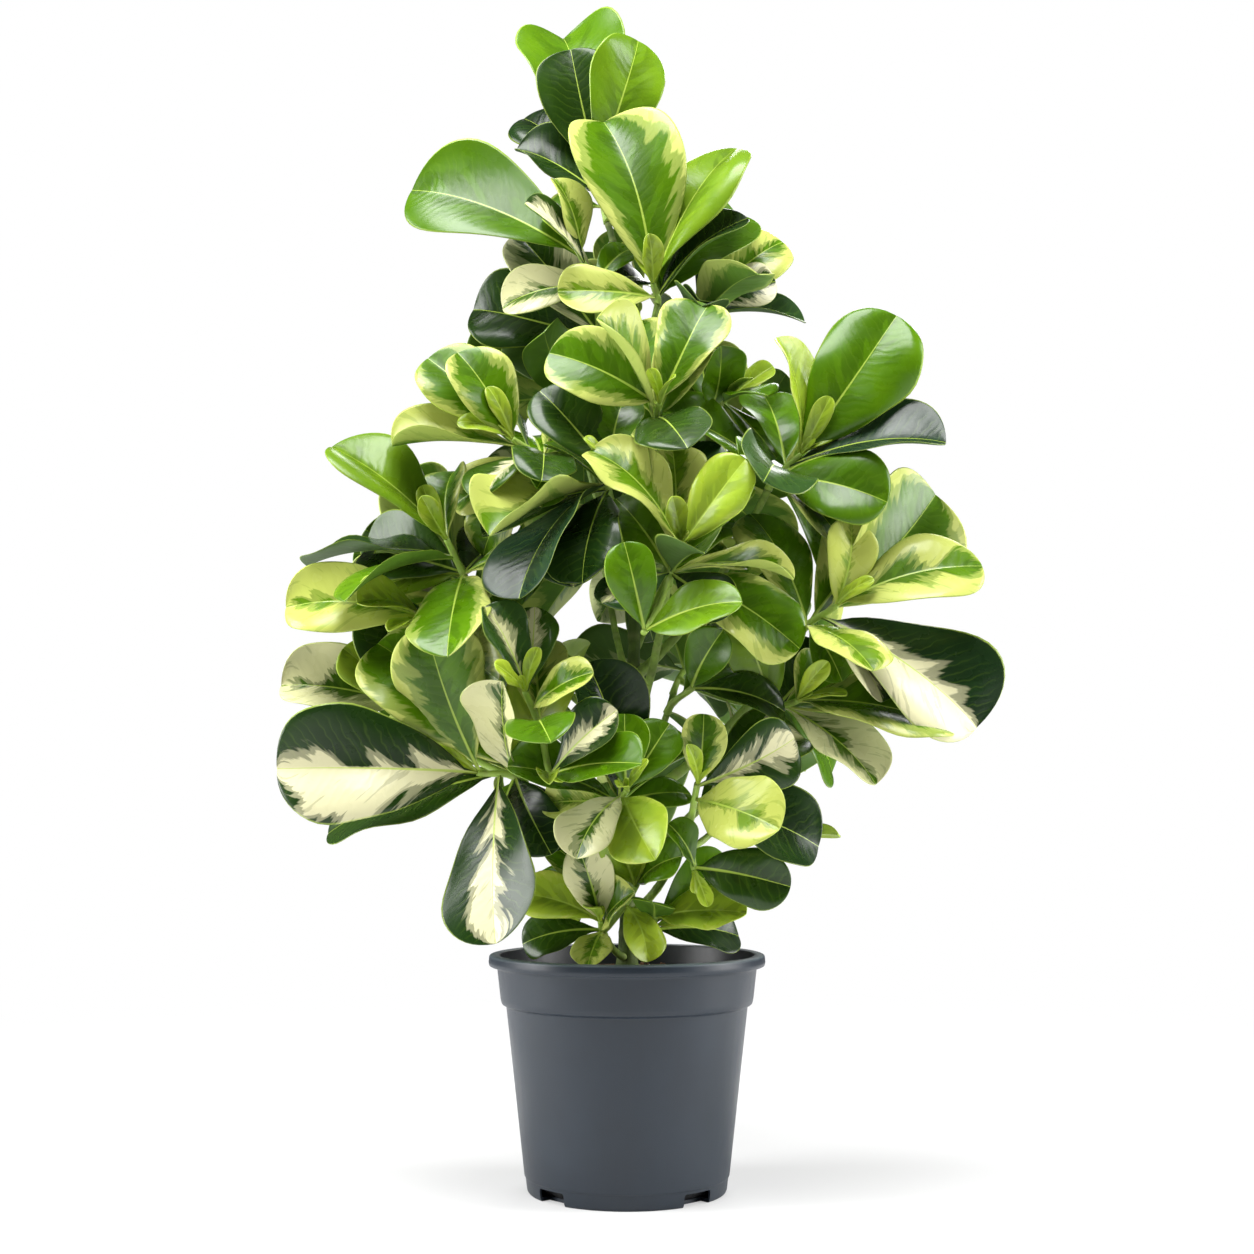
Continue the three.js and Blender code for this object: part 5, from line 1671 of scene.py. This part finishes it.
def soil_material():
    """Damp potting soil: near-black crumbs with browner fibres and a few pale specks, with painted shade at
    its foot.
    """
    material, kit, shader = new_material("potting soil")
    position = kit.object_place()
    uneven = kit.uneven(position, *SOIL_UNEVEN)
    body = kit.mix(uneven["Patches"], colour(*SOIL_DARK), colour(*SOIL_BROWN))
    body = kit.mix(kit.rise(uneven["Grain"], *SPECK_RANGE), body, colour(*SOIL_SPECK))
    height = kit.separate(position)[2]
    # Painted shade: below the tops of the notches the soil takes a dark grey that stands for the shade inside
    # the pot
    body = kit.mix(kit.rise(height, *SHADED_HEIGHTS), body, colour(*SOIL_SHADED))
    relief = kit.plus(uneven["Patches"], kit.times(uneven["Grain"], SOIL_GRAIN))
    kit.feed(shader, {"Base Color": body, "Roughness": kit.rise(uneven["Patches"], 0.0, 1.0, *SOIL_ROUGHNESS),
                      "Normal": kit.bump(relief, *SOIL_BUMP)})
    return material


def litter_material(kind):
    """Bits on the soil: brown bark, or porous white perlite."""
    material, kit, shader = new_material(f"soil {kind}")
    uneven = kit.uneven(kit.object_place(), *LITTER_UNEVEN)
    darkest, lightest = (colour(*values) for values in LITTER_COLOURS[kind])
    kit.feed(shader, {"Base Color": kit.mix(uneven["Patches"], darkest, lightest),
                      "Roughness": kit.rise(uneven["Grain"], 0.0, 1.0, *LITTER_ROUGHNESS),
                      "Normal": kit.bump(uneven["Grain"], *LITTER_BUMP)})
    return material


def floor_material(settings):
    """A pale matt floor that fades to the white surround a little way out, so that no horizon shows."""
    material, kit, shader = new_material("studio floor")
    kit.feed(shader, {"Base Color": settings.floor, "Roughness": 0.8})
    fade = kit.times(kit.rise(kit.distance(kit.object_place()), *FLOOR_FADE, FLOOR_GLOW, 1.0),
                     kit.node("ShaderNodeLightPath").outputs["Is Camera Ray"])
    white = kit.node("ShaderNodeEmission", {"Color": (1, 1, 1, 1), "Strength": 1.0})
    mixed = kit.node("ShaderNodeMixShader", {0: fade, 1: shader.outputs[0], 2: white.outputs[0]})
    output = next(node for node in kit.tree.nodes if node.type == "OUTPUT_MATERIAL")
    kit.tree.links.new(mixed.outputs[0], output.inputs["Surface"])
    return material


def colour_property(name, description, red, green, blue):
    return bpy.props.FloatVectorProperty(name=name, description=description, subtype="COLOR", size=4,
                                         min=0, max=1, default=colour(red, green, blue))


def roughness_property(description, default):
    return bpy.props.FloatProperty(name="Roughness", description=description, default=default,
                                   min=0.0, max=1.0, subtype="FACTOR")


def length_property(name, description, default, least=0.0):
    return bpy.props.FloatProperty(name=name, description=description, default=default, unit="LENGTH",
                                   min=least)


class ClusiaPotSettings(bpy.types.PropertyGroup):
    """Sizes and colours of the pot."""

    corner_radius: length_property("Corner Radius", "How far each moulded corner is rounded", 1.2 * MM)
    turns: bpy.props.IntProperty(name="Turns", description="Faces round the pot", default=192, min=24)
    colour: colour_property("Colour", "Colour of the plastic", 28, 37, 47)
    rubbed: colour_property("Rubbed Colour", "Colour where the plastic is rubbed", 36, 46, 57)
    # Painted shade: the dark colour of the inner wall above the soil
    inner_shade: colour_property("Painted Shade Colour", "Colour of the inner wall near the soil", 20, 20, 19)
    # Painted light: the paler colour on top of the rim
    worn: colour_property("Painted Light Colour", "Colour on top of the rim", 92, 103, 108)
    roughness: roughness_property("Dullness of the plastic", 0.36)


class ClusiaLeafSettings(bpy.types.PropertyGroup):
    """Colours and gloss of the leaves."""

    dark_green: colour_property("Dark Green", "Old green leaves", 22, 46, 4)
    blue_green: colour_property("Blue Green", "Old leaves with a blue cast", 24, 48, 34)
    mid_green: colour_property("Mid Green", "Grown green leaves", 74, 115, 4)
    lime: colour_property("Lime", "New leaves", 160, 186, 54)
    vein_green: colour_property("Vein Green", "Side veins", 116, 148, 44)
    rib_green: colour_property("Rib Green", "Midrib and edge line", 178, 202, 84)
    under_green: colour_property("Under Green", "Lower side", 104, 140, 62)
    yellow_pale: colour_property("Yellow Pale", "Pale parts of young leaves", 180, 192, 78)
    white_pale: colour_property("White Pale", "Pale parts of grown leaves", 219, 211, 184)
    roughness: roughness_property("Dullness of the upper side", 0.23)


class ClusiaStemSettings(bpy.types.PropertyGroup):
    """Colours of the stems."""

    young: colour_property("Young", "Skin of new twigs", 156, 188, 78)
    old: colour_property("Old", "Skin of old stems", 76, 98, 34)
    crack: colour_property("Crack", "Cracks in old stems", 46, 50, 26)
    scar: colour_property("Scar", "Rings where leaves have stood", 146, 152, 92)


class ClusiaStageSettings(bpy.types.PropertyGroup):
    """Camera, lights and floor."""

    camera_distance: length_property("Camera Distance", "From the pot's axis", 1.5456, 0.1)
    camera_height: length_property("Camera Height", "Above the floor", 0.3228)
    camera_pitch: bpy.props.FloatProperty(name="Camera Pitch", description="Upward tilt",
                                          default=float(np.radians(6.0)), subtype="ANGLE")
    lens: bpy.props.FloatProperty(name="Lens", description="Focal length in millimetres", default=50.316,
                                  min=10.0)
    surround: bpy.props.FloatProperty(name="Surround", description="Light from the white surround",
                                      default=0.07, min=0.0)
    floor: colour_property("Floor", "Colour of the floor", 222, 222, 222)


class OBJECT_OT_clusia_pot(bpy.types.Operator):
    """Builds the moulded nursery pot"""

    bl_idname = "object.clusia_pot"
    bl_label = "Build Pot"

    def execute(self, context):
        build_pot(context.scene.clusia_pot)
        return {"FINISHED"}


class OBJECT_OT_clusia_soil(bpy.types.Operator):
    """Fills the pot with soil, bark bits and perlite"""

    bl_idname = "object.clusia_soil"
    bl_label = "Build Soil"

    def execute(self, context):
        build_soil()
        return {"FINISHED"}


# Stem meshes, as rings and columns, and how old the skin of each looks, from 0 to 1
TRUNK_MESH = (150, 24)
BOUGH_MESH = (44, 14)
TWIG_MESH = (22, 10)
TRUNK_AGE = 0.85
BOUGH_AGE = 0.4
TWIG_AGE = 0.1


class OBJECT_OT_clusia_stems(bpy.types.Operator):
    """Grows the trunk and the boughs"""

    bl_idname = "object.clusia_stems"
    bl_label = "Grow Stems"

    def execute(self, context):
        for name, limb in plant().limbs.items():
            is_trunk = name == "trunk"
            node = name if is_trunk else f"bough_{name}"
            rows, columns = TRUNK_MESH if is_trunk else BOUGH_MESH
            age = TRUNK_AGE if is_trunk else BOUGH_AGE
            piece = build_stem(f"bark_{name}", [limb], rows, columns, [age], bark_material())
            hold(piece, "bark", node)
        return {"FINISHED"}


class OBJECT_OT_clusia_foliage(bpy.types.Operator):
    """Grows the twigs and leaves of each mass"""

    bl_idname = "object.clusia_foliage"
    bl_label = "Grow Foliage"

    def execute(self, context):
        for mass, _, _ in plant().masses:
            own = [shoot for shoot in plant().shoots if shoot.mass == mass]
            for shoot in own:
                for leaf in shoot.leaves:
                    dress_leaf(leaf, shoot)
            build_leaves(mass, [leaf for shoot in own for leaf in shoot.leaves], leaf_material())
            twigs = [shoot.twig for shoot in own]
            piece = build_stem(f"twigs_{mass}", twigs, *TWIG_MESH, [TWIG_AGE] * len(twigs), bark_material())
            hold(piece, "bark", f"mass_{mass}")
        return {"FINISHED"}


def aim(lamp, target):
    """Turns a lamp or camera so that it looks at a point."""
    way = unit(np.array(target) - np.array(lamp.location))
    tilt = np.arccos(-way[2])
    lamp.rotation_euler = (tilt, 0, np.arctan2(-way[0], way[1]))


# Soft lights: name, place, width and height in metres, power in watts
SOFT_LIGHTS = [
    ("top light", (-0.25, -0.75, 2.5), (1.6, 1.3), 95),
    ("left light", (-1.9, -0.25, 1.1), (0.9, 2.0), 64),
    ("right light", (1.9, -0.2, 1.0), (0.9, 2.0), 56),
    ("back light", (0.5, 1.8, 1.9), (1.4, 0.8), 26),
]
LIGHT_TARGET = (0, 0, 0.55)

# Floor: half its width in millimetres, where it fades to white in metres, and how white it starts
FLOOR_HALF_WIDTH = 9000
FLOOR_FADE = (0.35, 1.6)
FLOOR_GLOW = 0.45


class OBJECT_OT_clusia_stage(bpy.types.Operator):
    """Sets the floor, the lights, the white surround and the camera"""

    bl_idname = "object.clusia_stage"
    bl_label = "Set Stage"

    def execute(self, context):
        settings = context.scene.clusia_stage
        size = FLOOR_HALF_WIDTH
        corners = np.array([(-size, -size, 0), (size, -size, 0), (size, size, 0), (-size, size, 0)], float)
        floor = build_mesh("studio_floor", corners, np.array([(0, 1, 2, 3)]), NO_TRIANGLES, smooth=False)
        floor.data.materials.append(floor_material(settings))
        for name, spot, (width, height), power in SOFT_LIGHTS:
            data = bpy.data.lights.new(name, "AREA")
            data.shape, data.size, data.size_y, data.energy = "RECTANGLE", width, height, power
            lamp = bpy.data.objects.new(name, data)
            lamp.location = spot
            aim(lamp, LIGHT_TARGET)
            lamp.visible_camera = False
            context.scene.collection.objects.link(lamp)
        world = bpy.data.worlds.new("white surround")
        world.use_nodes = True
        world.node_tree.nodes.clear()
        kit = Kit(world.node_tree)
        seen = kit.node("ShaderNodeLightPath").outputs["Is Camera Ray"]
        glow = kit.node("ShaderNodeMix", {0: seen, 2: settings.surround, 3: 1.0}).outputs[0]
        background = kit.node("ShaderNodeBackground", {"Color": (1, 1, 1, 1), "Strength": glow})
        kit.node("ShaderNodeOutputWorld", {"Surface": background.outputs[0]})
        context.scene.world = world
        camera_data = bpy.data.cameras.new("camera")
        camera_data.sensor_width, camera_data.lens = 36, settings.lens
        camera = bpy.data.objects.new("camera", camera_data)
        camera.location = (0, -settings.camera_distance, settings.camera_height)
        camera.rotation_euler = (np.pi / 2 + settings.camera_pitch, 0, 0)
        context.scene.collection.objects.link(camera)
        context.scene.camera = camera
        context.scene.view_settings.view_transform = "Standard"
        return {"FINISHED"}


OPERATORS = (OBJECT_OT_clusia_pot, OBJECT_OT_clusia_soil, OBJECT_OT_clusia_stems, OBJECT_OT_clusia_foliage,
             OBJECT_OT_clusia_stage)
SETTINGS = (("clusia_pot", ClusiaPotSettings), ("clusia_leaves", ClusiaLeafSettings),
            ("clusia_stems", ClusiaStemSettings), ("clusia_stage", ClusiaStageSettings))


class VIEW3D_PT_clusia(bpy.types.Panel):
    """The plant's settings and the buttons that build it"""

    bl_label = "Potted Clusia"
    bl_idname = "VIEW3D_PT_clusia"
    bl_space_type = "VIEW_3D"
    bl_region_type = "UI"
    bl_category = "Plant"

    def draw(self, context):
        for name, group in SETTINGS:
            box = self.layout.box()
            box.label(text=group.__doc__)
            for key in group.__annotations__:
                box.prop(getattr(context.scene, name), key)
        for operator in OPERATORS:
            self.layout.operator(operator.bl_idname)


def register():
    for _, group in SETTINGS:
        bpy.utils.register_class(group)
    for operator in OPERATORS:
        bpy.utils.register_class(operator)
    bpy.utils.register_class(VIEW3D_PT_clusia)
    for name, group in SETTINGS:
        setattr(bpy.types.Scene, name, bpy.props.PointerProperty(type=group))


def unregister():
    for name, _ in SETTINGS:
        delattr(bpy.types.Scene, name)
    bpy.utils.unregister_class(VIEW3D_PT_clusia)
    for operator in reversed(OPERATORS):
        bpy.utils.unregister_class(operator)
    for _, group in reversed(SETTINGS):
        bpy.utils.unregister_class(group)


def main():
    register()
    bpy.ops.object.clusia_stage()
    bpy.ops.object.clusia_pot()
    bpy.ops.object.clusia_soil()
    bpy.ops.object.clusia_stems()
    bpy.ops.object.clusia_foliage()
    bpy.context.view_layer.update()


if __name__ == "__main__":
    main()
